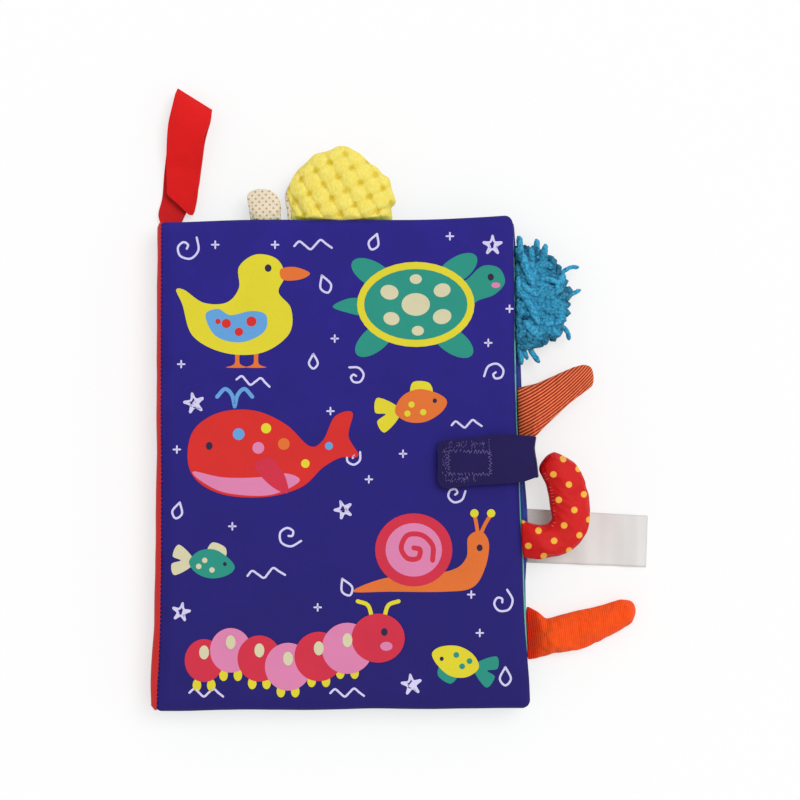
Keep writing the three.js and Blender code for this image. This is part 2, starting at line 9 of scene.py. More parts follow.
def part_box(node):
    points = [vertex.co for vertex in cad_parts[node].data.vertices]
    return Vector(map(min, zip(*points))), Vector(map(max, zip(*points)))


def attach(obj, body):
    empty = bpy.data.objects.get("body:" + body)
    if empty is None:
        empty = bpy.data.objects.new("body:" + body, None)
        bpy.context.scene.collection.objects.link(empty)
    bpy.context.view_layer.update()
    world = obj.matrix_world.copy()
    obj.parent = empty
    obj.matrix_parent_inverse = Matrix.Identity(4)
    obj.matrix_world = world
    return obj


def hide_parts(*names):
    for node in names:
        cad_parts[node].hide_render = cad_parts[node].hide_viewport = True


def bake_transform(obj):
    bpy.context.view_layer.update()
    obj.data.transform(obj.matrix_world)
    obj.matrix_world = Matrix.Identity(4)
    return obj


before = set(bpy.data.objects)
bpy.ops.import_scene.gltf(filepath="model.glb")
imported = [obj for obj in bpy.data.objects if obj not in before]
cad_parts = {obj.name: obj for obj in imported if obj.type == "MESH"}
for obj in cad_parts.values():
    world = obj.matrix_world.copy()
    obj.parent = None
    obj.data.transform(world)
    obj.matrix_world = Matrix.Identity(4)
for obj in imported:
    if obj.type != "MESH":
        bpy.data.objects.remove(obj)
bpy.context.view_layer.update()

# The table and the light: the book is photographed from straight above, flat on a white table,
# in even daylight with a soft sun from the upper right. The whole picture is 375 mm wide.
mm = 0.001
view_width = 375 * mm
view_centre = Vector((28.6 * mm, 31.2 * mm))
lens = 100
sensor_width = 36
cover_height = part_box("front_cover_top_cloth")[1].z

camera_data = bpy.data.cameras.new("camera")
camera_data.lens = lens
camera_data.clip_start = 0.01
camera = bpy.data.objects.new("camera", camera_data)
camera.location = (view_centre.x, view_centre.y, cover_height + view_width * lens / sensor_width)
bpy.context.collection.objects.link(camera)
bpy.context.scene.camera = camera
bpy.context.scene.view_settings.view_transform = "Standard"

sun_data = bpy.data.lights.new("sun", "SUN")
sun_data.energy = 1.5
sun_data.angle = math.radians(35)
sun = bpy.data.objects.new("sun", sun_data)
sun.rotation_euler = (math.radians(-15), math.radians(20), 0)
bpy.context.collection.objects.link(sun)

world = bpy.data.worlds.new("daylight")
world.use_nodes = True
world.node_tree.nodes["Background"].inputs["Color"].default_value = (1, 1, 1, 1)
world.node_tree.nodes["Background"].inputs["Strength"].default_value = 0.62
bpy.context.scene.world = world


def flat_grid(columns, rows, half=0.5):
    """A square of cells round the origin, which is then shaped into a piece."""
    shape = bmesh.new()
    bmesh.ops.create_grid(shape, x_segments=columns, y_segments=rows, size=half)
    return shape


def place_mesh(name, shape, finish, smooth=True):
    """Turns a finished bmesh into an object at the origin, with its finish."""
    mesh = bpy.data.meshes.new(name)
    shape.to_mesh(mesh)
    shape.free()
    mesh.materials.append(finish)
    for face in mesh.polygons:
        face.use_smooth = smooth
    piece = bpy.data.objects.new(name, mesh)
    bpy.context.collection.objects.link(piece)
    return piece


def feed(tree, socket, value):
    """Gives a socket a link from another one, or else a plain value."""
    if isinstance(value, bpy.types.NodeSocket):
        tree.links.new(value, socket)
    else:
        socket.default_value = value


def add_node(tree, kind, inputs):
    """One shader node with its inputs."""
    node = tree.nodes.new(f"ShaderNode{kind}")
    for place, value in inputs.items():
        feed(tree, node.inputs[place], value)
    return node


def math_node(tree, operation, *values):
    """One Math node, with links or plain values as its inputs."""
    node = add_node(tree, "Math", dict(enumerate(values)))
    node.operation = operation
    return node.outputs[0]


def total(tree, first, second):
    return math_node(tree, "ADD", first, second)


def times(tree, first, second):
    return math_node(tree, "MULTIPLY", first, second)


table_finish = bpy.data.materials.new("white table")
table_finish.use_nodes = True
table_tree = table_finish.node_tree
table_matt = table_tree.nodes["Principled BSDF"]
table_matt.inputs["Base Color"].default_value = (0.94, 0.94, 0.94, 1)
table_matt.inputs["Roughness"].default_value = 0.9
table_matt.inputs["Specular IOR Level"].default_value = 0.1
rays = table_tree.nodes.new("ShaderNodeLightPath").outputs
seen = total(table_tree, rays["Is Camera Ray"], rays["Is Glossy Ray"])
seen = total(table_tree, seen, rays["Is Transmission Ray"])
table_glow = table_tree.nodes.new("ShaderNodeEmission")
table_mix = add_node(table_tree, "MixShader", {
    "Fac": times(table_tree, seen, 0.6), 1: table_matt.outputs["BSDF"], 2: table_glow.outputs["Emission"],
})
feed(table_tree, table_tree.nodes["Material Output"].inputs["Surface"], table_mix.outputs["Shader"])
table = place_mesh("table", flat_grid(1, 1, 3), table_finish, smooth=False)

# The leaves: four padded pockets, each of two printed polyester cloths sewn face to face, turned
# out over wadding and crinkle film, and flattened. The seam at the rim draws the cloth into small
# puckers, and the film keeps the page nearly flat.
spine_height = 229.4 * mm
head_width = 165.4 * mm
foot_width = 174.2 * mm
slew = 1.3 * mm
head_rise = 4.2 * mm
foot_rise = 1.2 * mm
leaf_thickness = 5 * mm
leaf_gap = 0.3 * mm
fore_corner = 4 * mm
spine_corner = 2.4 * mm
puff_width = 7 * mm
rim_half = 0.42 * mm
leaf_names = ["back_cover", "leaf_2", "leaf_1", "front_cover"]
cover_seed = 11
# How far the edges stray from the straight lines of the page, as rows of share along the edge and millimetres.
fore_reach = {
    "front_cover": [
        (0, 1.3), (0.06, 1.2), (0.16, 0.2), (0.27, -0.4), (0.46, -0.8), (0.59, -1.2), (0.74, -0.9), (0.89, 0),
        (1, 0),
    ],
    "leaf_1": [
        (0, 1.2), (0.16, 0.9), (0.27, 0.5), (0.46, 0), (0.59, -0.45), (0.74, -0.1), (0.89, 0.6), (0.95, 0.4),
        (1, -0.1),
    ],
    "leaf_2": [(0, 1), (0.16, 1), (0.29, 1.7), (0.36, 2.2), (0.46, 1.6), (0.8, 1.6), (1, 1.1)],
    "back_cover": [
        (0, 0.9), (0.1, 1), (0.23, 1.3), (0.29, 2.4), (0.36, 3.8), (0.42, 3.4), (0.46, 2.8), (0.67, 2.8),
        (0.9, 2.3), (1, 1.5),
    ],
}
head_reach = [
    (0, 0.1), (0.25, -0.1), (0.37, -0.2), (0.55, -1.4), (0.63, -1.8), (0.83, -1.75), (0.93, -1.4), (1, -0.9),
]
spine_reach = [
    (0, -0.1), (0.04, 0), (0.1, 0.7), (0.17, 1.2), (0.3, 1.4), (0.5, 1.1), (0.6, 0.7), (0.8, 0.4), (1, 0.2),
]


def read_share(rows, place):
    """Reads a table of [place, value] rows with straight lines between them."""
    for (low, low_value), (high, high_value) in zip(rows, rows[1:]):
        if place <= high:
            return low_value + (high_value - low_value) * (place - low) / (high - low)
    return rows[-1][1]


def srgb(red, green, blue):
    """A colour read as screen values from 0 to 255, as the linear colour that a shader takes."""
    return tuple(
        (part / 255 / 12.92 if part <= 10 else ((part / 255 + 0.055) / 1.055) ** 2.4)
        for part in (red, green, blue)
    ) + (1,)


def object_place(tree, turn=0):
    """Places on the piece, turned about the upright axis."""
    place = tree.nodes.new("ShaderNodeTexCoord").outputs["Object"]
    return add_node(tree, "Mapping", {"Vector": place, "Rotation": (0, 0, turn)}).outputs["Vector"]


def axes(tree, turn=0):
    """The X and Y of a place on the piece."""
    return add_node(tree, "SeparateXYZ", {0: object_place(tree, turn)}).outputs


def mottled(tree, scale, detail=2, place=None):
    """A soft uneven shade."""
    inputs = {"Vector": place or object_place(tree), "Scale": scale, "Detail": detail}
    return add_node(tree, "TexNoise", inputs).outputs["Fac"]


def waves(tree, value, pitch, kind="SINE"):
    """Even waves along a direction."""
    return math_node(tree, kind, times(tree, value, 2 * math.pi / pitch))


def ranged(tree, value, low, high, start=0, end=1):
    """A value stretched from its own range to another."""
    inputs = {"Value": value, "From Min": low, "From Max": high, "To Min": start, "To Max": end}
    return add_node(tree, "MapRange", inputs).outputs["Result"]


def mixed(tree, factor, first, second):
    """Two colours, mixed by a factor."""
    node = tree.nodes.new("ShaderNodeMix")
    node.data_type = "RGBA"
    for place, value in (("Factor", factor), ("A", first), ("B", second)):
        feed(tree, node.inputs[place], value)
    return node.outputs["Result"]


def make_cloth_grain():
    """A node group for all cloths: crossing threads, soft creases and uneven dye."""
    tree = bpy.data.node_groups.new("cloth grain", "ShaderNodeTree")
    for way, names in (("INPUT", ("Thread Pitch", "Crease")), ("OUTPUT", ("Height", "Shade"))):
        for name in names:
            tree.interface.new_socket(name, in_out=way, socket_type="NodeSocketFloat")
    given = tree.nodes.new("NodeGroupInput").outputs
    result = tree.nodes.new("NodeGroupOutput").inputs
    parts = axes(tree)
    turns = math_node(tree, "DIVIDE", 2 * math.pi, given["Thread Pitch"])
    weave = times(tree, *(math_node(tree, "SINE", times(tree, parts[axis], turns)) for axis in "XY"))
    crease = mottled(tree, 55, 3)
    fine = total(tree, times(tree, weave, 0.25), mottled(tree, 900))
    feed(tree, result["Height"], total(tree, times(tree, crease, given["Crease"]), fine))
    feed(tree, result["Shade"], total(tree, times(tree, crease, 0.7), times(tree, fine, 0.25)))
    return tree


cloth_grain = make_cloth_grain()


def cloth(name, light, dark, pitch=0.5 * mm, crease=4, depth=0.1 * mm, rough=0.75, sheen=0.15, pattern=None):
    """A cloth finish in two tones of one dye. A pattern may paint over the dye before it reaches the shader."""
    finish = bpy.data.materials.new(name)
    finish.use_nodes = True
    tree = finish.node_tree
    grain = tree.nodes.new("ShaderNodeGroup")
    grain.node_tree = cloth_grain
    grain.inputs["Thread Pitch"].default_value = pitch
    grain.inputs["Crease"].default_value = crease
    color, height = mixed(tree, grain.outputs["Shade"], srgb(*dark), srgb(*light)), grain.outputs["Height"]
    if pattern:
        color, height = pattern(tree, color, height)
    bump = add_node(tree, "Bump", {"Distance": depth, "Height": height})
    for place, value in {
        "Base Color": color, "Normal": bump.outputs["Normal"], "Roughness": rough, "Specular IOR Level": 0.3,
        "Sheen Weight": sheen, "Sheen Roughness": 0.5,
    }.items():
        feed(tree, tree.nodes["Principled BSDF"].inputs[place], value)
    return finish


def dotted(color, pitch, radius, turn):
    """Printed dots in even rows."""
    def paint_dots(tree, under, height):
        spot = add_node(tree, "TexVoronoi", {
            "Vector": object_place(tree, turn), "Scale": 1 / pitch, "Randomness": 0,
        })
        spot.voronoi_dimensions = "2D"
        edge = ranged(tree, spot.outputs["Distance"], 1.08 * radius / pitch, 0.92 * radius / pitch)
        return mixed(tree, edge, under, srgb(*color)), height
    return paint_dots


def drift(*place):
    """Smooth chance, from -1 to 1, that wanders from place to place."""
    return noise.noise(Vector(place))


def leaf_middle(leaf):
    """Height of a leaf's seam plane."""
    return leaf_names.index(leaf) * (leaf_thickness + leaf_gap) + leaf_thickness / 2


def spine_edge_x(along):
    lean = (foot_width - head_width - 4 * slew) / 2 * along
    return -foot_width / 2 + slew + lean + read_share(spine_reach, min(max(along, 0), 1)) * mm


def fore_line_x(along):
    """The straight line that the fore-edges stray from."""
    return foot_width / 2 + slew - (foot_width - head_width + 4 * slew) / 2 * along


def leaf_place(leaf, across, along):
    """A point of the page from shares across and along it, and its distances from the edge and the spine."""
    left = spine_edge_x(along)
    right = fore_line_x(along) + read_share(fore_reach[leaf], along) * mm
    width = right - left
    from_left, from_right = across * width, (1 - across) * width
    from_foot, from_head = along * spine_height, (1 - along) * spine_height
    corner = fore_corner if across > 0.5 else spine_corner
    side = min(from_left, from_right)
    end = min(from_foot, from_head)
    if side < corner and end < corner:
        inward, upward = 1 - side / corner, 1 - end / corner
        moved_side = corner * (1 - inward * math.sqrt(1 - upward * upward / 2))
        moved_end = corner * (1 - upward * math.sqrt(1 - inward * inward / 2))
    else:
        moved_side, moved_end = side, end
    x = left + moved_side if across <= 0.5 else right - moved_side
    y = moved_end if along <= 0.5 else spine_height - moved_end
    shorter = 0 if leaf == "front_cover" else 0.5
    rise = foot_rise + (head_rise - foot_rise) * along
    y += (read_share(head_reach, across) - shorter) * mm * along
    return x, y - spine_height / 2 + rise * across, min(side, end), from_left


def puff(distance):
    """How far the cloth has risen from rim to flat page, from 0 to 1."""
    share = min(distance / puff_width, 1)
    return 1 - (1 - share) ** 2.4


def page_sag(x, y, seed):
    """The slow dips of a padded page, from 0 to 1."""
    slow = drift(x / (45 * mm), y / (45 * mm), seed)
    return 0.5 + 0.42 * slow + 0.16 * drift(x / (16 * mm), y / (16 * mm), seed + 7)


def page_height(x, y, distance, from_spine, seed):
    """Height of the cloth over the seam plane, with puckers that run in from the rim."""
    full = leaf_thickness / 2 - rim_half
    bound = math.exp(-max(from_spine, 0) / (3 * mm))
    pucker = drift(x / (6 * mm), y / (6 * mm), seed + 3) * math.exp(-distance / (5 * mm))
    wave = drift(x / (20 * mm), y / (20 * mm), seed + 5) * math.exp(-distance / (14 * mm))
    sag = 0.55 * mm * page_sag(x, y, seed)
    height = rim_half + full * max(puff(distance), 0.6 * bound) - sag * puff(distance)
    return min(height + (0.3 * pucker + 0.35 * wave) * mm, leaf_thickness / 2 - 0.02 * mm)


def thicken(piece, thickness, offset=0):
    """Gives a sheet the thickness of its cloth."""
    wall = piece.modifiers.new("cloth", "SOLIDIFY")
    wall.thickness = thickness
    wall.offset = offset


def ride_on(piece, body, slot, *nodes):
    """The piece moves with a body and takes the place of nodes of the frame. Its slot is not used."""
    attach(piece, body)
    if nodes:
        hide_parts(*nodes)


def cloth_side(leaf, side, finish, slot):
    """One printed side of a leaf, laid over its padding. The outer side of the cover has finer cells."""
    outer = leaf == "front_cover" and side > 0
    place = leaf_names.index(leaf)
    seed = cover_seed if outer else 20 + 3 * place + side
    spacing = (1.7 if outer else 2.4) * mm
    sheet = flat_grid(round(foot_width / spacing), round(spine_height / spacing))
    for vert in sheet.verts:
        x, y, distance, from_spine = leaf_place(leaf, vert.co.x + 0.5, vert.co.y + 0.5)
        fade = math.exp(-distance / (12 * mm)) * mm
        height = page_height(x, y, distance, from_spine, seed)
        x, y = x + 0.45 * fade * drift(y / (30 * mm), place, 1), y + 0.4 * fade * drift(x / (30 * mm), place, 9)
        vert.co = (x, y, leaf_middle(leaf) + side * height)
    if side < 0:
        bmesh.ops.reverse_faces(sheet, faces=sheet.faces)
    side_name = "top" if side > 0 else "bottom"
    piece = place_mesh(f"{leaf}_{side_name}_print", sheet, finish)
    thicken(piece, 0.35 * mm, -1)
    ride_on(piece, leaf, slot, f"{leaf}_{side_name}_cloth")


def painted_shade_to_foot(tree, under, height):
    """Painted shade: the cover is a little darker towards the foot, where the light falls off."""
    foot = ranged(tree, axes(tree)["Y"], 0.08, -0.1)
    return mixed(tree, times(tree, foot, 0.6), under, srgb(20, 11, 84)), height


cover_blue = cloth("cover print", (36, 22, 144), (24, 13, 110), crease=5, sheen=0.04, pattern=painted_shade_to_foot)
back_blue = cloth("back print", (50, 38, 146), (36, 27, 112), crease=5, sheen=0.05)
teal_dots = dotted((72, 178, 156), 13 * mm, 2.2 * mm, math.radians(45))
page_teal = cloth("teal page print", (108, 212, 186), (86, 190, 164), crease=5, pattern=teal_dots)
navy_dots = dotted((36, 68, 172), 16 * mm, 3 * mm, math.radians(45))
page_navy = cloth("navy page print", (22, 52, 158), (14, 38, 126), crease=5, pattern=navy_dots)
for leaf, side, finish, slot in (
    ("back_cover", 1, page_navy, "back_inside_print"), ("back_cover", -1, back_blue, "back_cover_print"),
    ("leaf_2", 1, page_navy, "page_print_navy"), ("leaf_2", -1, page_navy, "page_print_navy"),
    ("leaf_1", 1, page_teal, "page_print_teal"), ("leaf_1", -1, page_teal, "page_print_teal"),
    ("front_cover", 1, cover_blue, "front_cover_print"), ("front_cover", -1, page_teal, "page_print_teal"),
):
    cloth_side(leaf, side, finish, slot)

# The film and the wadding stay inside the leaves: clear crackling film, and white bonded fleece.
film_finish = cloth("crinkle film", (226, 230, 234), (205, 212, 218), crease=12, rough=0.25, sheen=0)
fleece_finish = cloth("fleece", (248, 246, 240), (228, 226, 220), pitch=1.5 * mm, crease=8, rough=0.95)


def refinish(node, finish):
    """Gives a node of the frame its finish."""
    piece = bpy.data.objects[node]
    piece.data.materials.clear()
    piece.data.materials.append(finish)


for leaf in leaf_names:
    refinish(f"{leaf}_crinkle_film", film_finish)
    refinish(f"{leaf}_wadding", fleece_finish)

# The printed front cover: flat areas of ink in nine colours on the deep blue cloth, with plain nursery
# animals and thin white ornaments between them. Ink lies on the cloth, so each area follows its height.
paints = {
    "yellow": (232, 218, 42), "teal": (34, 150, 130), "red": (222, 38, 32), "orange": (234, 116, 44),
    "crimson": (216, 42, 68), "pink": (228, 134, 178), "sky": (100, 166, 224), "cream": (222, 215, 175),
    "white": (222, 216, 250), "dark": (38, 30, 66),
}
printed = {paint: [] for paint in paints}


def smooth_points(points, closed=False, steps=10):
    """A smooth curve through the given points, as many short steps."""
    points = [Vector(point) for point in points]
    if closed:
        ends = [points[-1], *points, points[0], points[1]]
    else:
        ends = [2 * points[0] - points[1], *points, 2 * points[-1] - points[-2]]
    fine = []
    for before, here, after, later in zip(ends, ends[1:], ends[2:], ends[3:]):
        for step in range(steps):
            part = step / steps
            fine.append(0.5 * (
                2 * here + (after - before) * part
                + (2 * before - 5 * here + 4 * after - later) * part ** 2
                + (3 * here - before - 3 * after + later) * part ** 3
            ))
    return fine if closed else [*fine, points[-1]]


def placed(rows, x, y, size, turn):
    """Points of a motif in millimetres, sized, turned and moved to its place on the cover."""
    lean = Matrix.Rotation(math.radians(turn), 2)
    return [lean @ Vector(row) * size + Vector((x, y)) for row in rows]


def ink_oval(paint, layer, x, y, wide, tall, turn=0):
    angles = [step / 36 * 2 * math.pi for step in range(36)]
    rows = [(wide * math.cos(angle), tall * math.sin(angle)) for angle in angles]
    printed[paint].append((layer, placed(rows, x, y, 1, turn)))


def ink_area(paint, layer, x, y, rows, size=1, turn=0):
    printed[paint].append((layer, smooth_points(placed(rows, x, y, size, turn), closed=True)))


def ink_line(paint, layer, x, y, rows, width, size=1, turn=0):
    """A drawn line of even width with round ends."""
    middle = smooth_points(placed(rows, x, y, size, turn), steps=8)
    left, right = [], []
    for place, point in enumerate(middle):
        way = (middle[min(place + 1, len(middle) - 1)] - middle[max(place - 1, 0)]).normalized()
        out = Vector((-way.y, way.x)) * width / 2
        left.append(point + out)
        right.append(point - out)
    caps = []
    for end, beside in ((middle[-1], left[-1]), (middle[0], right[0])):
        arm = beside - end
        caps.append([end + Matrix.Rotation(-turned * math.pi / 4, 2) @ arm for turned in (1, 2, 3)])
    printed[paint].append((layer, [*left, *caps[0], *reversed(right), *caps[1]]))


def ink_turtle(x, y, size):
    for fin_x, fin_y, turn in ((-20, -17, 40), (18, -18, -35), (-21, 15, -30), (20, 17, 35)):
        ink_oval("teal", 0, x + fin_x * size, y + fin_y * size, 12 * size, 6 * size, turn)
    ink_area("teal", 0, x, y, [(24, -2), (31, 2), (39, 5), (44, 11), (41, 18), (33, 19), (26, 13), (20, 8)], size)
    ink_area("teal", 0, x, y, [(-25, 2), (-33, 3), (-41, -1), (-34, -4), (-26, -5)], size)
    ink_oval("yellow", 1, x, y, 29 * size, 21 * size)
    ink_oval("teal", 2, x, y, 25.5 * size, 17.5 * size)
    for spot_x, spot_y, wide in (
        (0, 0, 7), (-13, 6, 4.5), (-12, -7, 4), (13, 7, 4.2), (13, -6, 4.6), (0, 12.5, 3), (1, -13, 3),
    ):
        ink_oval("cream", 3, x + spot_x * size, y + spot_y * size, wide * size, 0.8 * wide * size, spot_x)
    ink_oval("dark", 3, x + 37 * size, y + 13.5 * size, 1.5 * size, 1.7 * size)
    ink_oval("pink", 3, x + 39.5 * size, y + 9.5 * size, 2.2 * size, 1.4 * size)


def ink_duck(x, y, size):
    ink_area("yellow", 0, x, y, [
        (-30, 6), (-25, -9), (-10, -17), (8, -17), (21, -8), (22, 4), (16, 12), (19, 20), (15, 28), (5, 30),
        (-3, 24), (-3, 14), (-9, 7), (-20, 7), (-29, 13), (-33, 13),
    ], size)
    ink_area("orange", 1, x, y, [(17, 23), (24, 24), (31, 21), (26, 18), (18, 18)], size)
    ink_area("sky", 1, x, y, [(-19, 1), (-14, -9), (-2, -12), (9, -7), (10, 1), (3, 3), (-7, 1), (-13, 4)], size)
    for spot_x, spot_y, wide in ((-9, -3, 2.2), (-3, -7, 2), (3, -2, 2.4), (-13, -2, 1.3)):
        ink_oval("red", 2, x + spot_x * size, y + spot_y * size, wide * size, wide * size)
    ink_oval("dark", 1, x + 11 * size, y + 23.5 * size, 1.6 * size, 1.8 * size)
    for leg in (-4, 5):
        ink_area("orange", -1, x + leg * size, y - 20 * size, [
            (-1, 6), (-1, -2), (-5, -4), (5, -4), (1.4, -2), (1.4, 6),
        ], size)


def ink_whale(x, y, size):
    ink_area("red", 0, x, y, [
        (-38, -3), (-35, 12), (-22, 21), (-4, 22), (12, 15), (24, 4), (31, 7), (37, 19), (46, 21), (44, 9),
        (49, -1), (40, -2), (31, -7), (20, -17), (2, -22), (-19, -21), (-33, -14),
    ], size)
    ink_area("pink", 1, x, y, [
        (-35, -9), (-20, -12), (-2, -12), (12, -10), (19, -14), (4, -21), (-18, -20), (-31, -14),
    ], size)
    ink_area("crimson", 2, x, y, [(-4, -6), (4, -16), (13, -20), (11, -10), (4, -2)], size)
    for paint, spot_x, spot_y, wide in (
        ("sky", -12, 10, 3), ("yellow", 2, 13, 2.6), ("orange", 11, 5, 3), ("pink", -2, 3, 3),
        ("yellow", 22, -5, 2.2), ("sky", 34, 4, 2),
    ):
        ink_oval(paint, 2, x + spot_x * size, y + spot_y * size, wide * size, wide * size)
    ink_oval("dark", 2, x - 27 * size, y + 4 * size, 1.7 * size, 2 * size)
    for side in (-1, 1):
        rows = [(0, 0), (side * 1.5, 6), (side * 5, 9), (side * 9, 5)]
        ink_line("sky", 0, x - 14 * size, y + 24 * size, rows, 2 * size, size)


def ink_snail(x, y, size):
    ink_area("orange", 0, x, y, [
        (-32, -17), (-14, -17), (12, -17), (25, -15), (31, -6), (33, 6), (29, 12), (23, 9), (22, -1), (14, -7),
        (-8, -9), (-22, -12),
    ], size)
    ink_oval("crimson", 1, x - 3 * size, y + 3 * size, 18.5 * size, 17.5 * size)
    ink_oval("pink", 2, x - 3 * size, y + 3 * size, 13.5 * size, 12.8 * size)
    ink_line("crimson", 3, x - 3 * size, y + 3 * size, [
        (0, 1), (3, 0), (2, -4), (-3, -4), (-6, 1), (-3, 7), (4, 7), (9, 2), (9, -5),
    ], 2.4 * size, size)
    for layer, tip in enumerate((26, 34)):
        ink_line("orange", 1 + layer, x, y, [(28, 8), ((28 + tip) / 2, 15), (tip, 20)], 1.8 * size, size)
        ink_oval("yellow", 2, x + tip * size, y + 20.5 * size, 2 * size, 2 * size)
    ink_oval("dark", 2, x + 28.5 * size, y + 4 * size, 1.4 * size, 1.6 * size)


def ink_caterpillar(x, y, size):
    bends = [(-44, -1), (-31, 4), (-17, 0), (-3, -4), (12, 1), (26, 5)]
    for place, (bend_x, bend_y) in enumerate(bends):
        for foot in (-3.5, 3.5):
            ink_oval("yellow", 0, x + (bend_x + foot) * size, y + (bend_y - 12) * size, 2.1 * size, 3 * size)
        ink_oval("crimson" if place % 2 == 0 else "pink", 1 + place, x + bend_x * size, y + bend_y * size,
                 (9.5 + 0.6 * place) * size, (10.5 + 0.4 * place) * size)
        ink_oval("cream", 8, x + bend_x * size, y + (bend_y + 4) * size, 2.4 * size, 3.4 * size)
    ink_oval("crimson", 8, x + 41 * size, y + 10 * size, 13 * size, 12 * size)
    ink_oval("pink", 9, x + 45 * size, y + 6 * size, 3 * size, 2.2 * size)
    ink_oval("dark", 9, x + 44 * size, y + 13 * size, 1.6 * size, 1.9 * size)
    for tip in (-1, 1):
        rows = [(tip * 3, 0), (tip * 5, 6), (tip * 10, 8)]
        ink_line("yellow", 7, x + 41 * size, y + 20 * size, rows, 2 * size, size)


def ink_fish(x, y, size, body, fin, turn):
    ink_area(body, 1, x, y, [
        (-13, 0), (-8, 7), (1, 9), (10, 5), (14, 0), (10, -5), (1, -8), (-8, -6),
    ], size, turn)
    ink_area(fin, 0, x, y, [(-10, 0), (-20, 9), (-23, 2), (-18, 0), (-23, -3), (-20, -9)], size, turn)
    ink_area(fin, 0, x, y, [(-3, 6), (-1, 13), (7, 11), (7, 5)], size, turn)
    for spot in placed([(-4, 2), (1, -3), (-7, -2)], x, y, size, turn):
        ink_oval(fin, 2, spot.x, spot.y, 1.6 * size, 1.6 * size)
    eye = placed([(8, 1.5)], x, y, size, turn)[0]
    ink_oval("dark", 2, eye.x, eye.y, 1.1 * size, 1.2 * size)


ink_turtle(36, 76, 0.95)
ink_duck(-44, 70, 0.98)
ink_whale(-36, 6, 0.92)
ink_snail(38, -42, 0.98)
ink_caterpillar(-21, -90, 0.96)
ink_fish(38, 28, 0.92, "orange", "yellow", 12)
ink_fish(55, -91, 0.85, "yellow", "teal", 162)
ink_fish(-60, -46, 0.8, "teal", "cream", -8)

curl = [(0.6, 0), (1.4, 1.6), (-0.4, 3), (-3, 1.2), (-2.6, -2.6), (1.6, -4.4), (5.4, -1.4), (5.6, 4)]
star = [
    (0, 5), (1.3, 1.5), (5, 1.3), (2, -1), (3, -4.6), (0, -2.4), (-3, -4.6), (-2, -1), (-5, 1.3), (-1.3, 1.5),
    (0, 5),
]
ripple_line = [(-9, 0), (-6.5, 2), (-4, 0), (-1.5, -2), (1, 0), (3.5, 2), (6, 0), (8.5, -2)]
drop = [(0, 6), (-2.6, 0.6), (0, -2.6), (2.6, 0.6), (0, 6)]
ornaments = (
    (curl, -72, 102, 1.1, 10), (ripple_line, -12, 104, 1, 4), (star, -68, 30, 0.9, 12),
    (curl, 8, 42, 0.8, 90), (ripple_line, -40, 40, 0.9, -6), (drop, -6, 84, 1, 20), (star, 72, 104, 0.85, 0),
    (curl, 74, 44, 0.9, 160), (ripple_line, 60, 20, 0.8, 5), (drop, -76, -22, 0.9, -15),
    (curl, -24, -32, 1, -60), (star, 2, -20, 0.8, 20), (ripple_line, -34, -50, 1, 8), (drop, 4, -58, 1, 25),
    (curl, 76, -64, 1, 30), (star, 34, -102, 0.9, 8), (ripple_line, -62, -106, 0.9, 0),
    (drop, 78, -100, 1, 0), (star, -74, -68, 0.8, -10), (curl, 54, -13, 0.8, -20), (drop, 16, 104, 0.9, -20),
    (ripple_line, 4, -106, 0.9, 2), (curl, 6, 4, 0.7, 0), (drop, -12, 48, 0.8, 0),
)
for rows, x, y, size, turn in ornaments:
    ink_line("white", 0, x, y, rows, 1, size, turn)
for x, y in (
    (-58, 104), (52, 108), (-2, 60), (70, 58), (-74, 48), (14, -6), (-50, -28), (62, -60), (-4, 26), (30, 6),
    (-10, -66), (66, -78), (-30, 104), (80, 74), (-76, 8),
):
    ink_line("white", 0, x, y, [(-1.6, 0), (1.6, 0)], 0.8)
    ink_line("white", 0, x, y, [(0, -1.6), (0, 1.6)], 0.8)


def cover_height_at(x, y):
    """Height of the front cover's cloth at a place, for what lies on it."""
    along = (y + spine_height / 2) / spine_height
    left, right = spine_edge_x(along), fore_line_x(along)
    share = (x - left) / (right - left)
    rise = (foot_rise + (head_rise - foot_rise) * along) * share + read_share(head_reach, share) * mm * along
    from_end = min(y + spine_height / 2 - rise, spine_height / 2 + rise - y)
    distance = max(min(x - left, right - x, from_end), 0)
    return leaf_middle("front_cover") + page_height(x, y, distance, x - left, cover_seed)


def lay_ink(paint):
    """All areas of one ink, cut into small cells and laid on the cloth."""
    shape = bmesh.new()
    for layer, points in printed[paint]:
        face = shape.faces.new([shape.verts.new((x * mm, y * mm, layer * 0.03 * mm)) for x, y in points])
        face.normal_update()
        if face.normal.z < 0:
            face.normal_flip()
    bmesh.ops.triangulate(shape, faces=shape.faces)
    cell = 5 * mm
    for axis, reach in ((Vector((1, 0, 0)), foot_width / 2), (Vector((0, 1, 0)), spine_height / 2)):
        for count in range(-int(reach / cell), int(reach / cell) + 1):
            parts = [*shape.verts, *shape.edges, *shape.faces]
            bmesh.ops.bisect_plane(shape, geom=parts, plane_co=axis * count * cell, plane_no=axis)
    for vert in shape.verts:
        vert.co.z += cover_height_at(vert.co.x, vert.co.y) + 0.12 * mm
    red, green, blue = paints[paint]
    finish = cloth(f"{paint} ink", paints[paint], (red * 0.9, green * 0.9, blue * 0.92), crease=5)
    ride_on(place_mesh(f"cover_print_{paint}", shape, finish), "front_cover", "front_cover_print")


for paint in paints:
    lay_ink(paint)

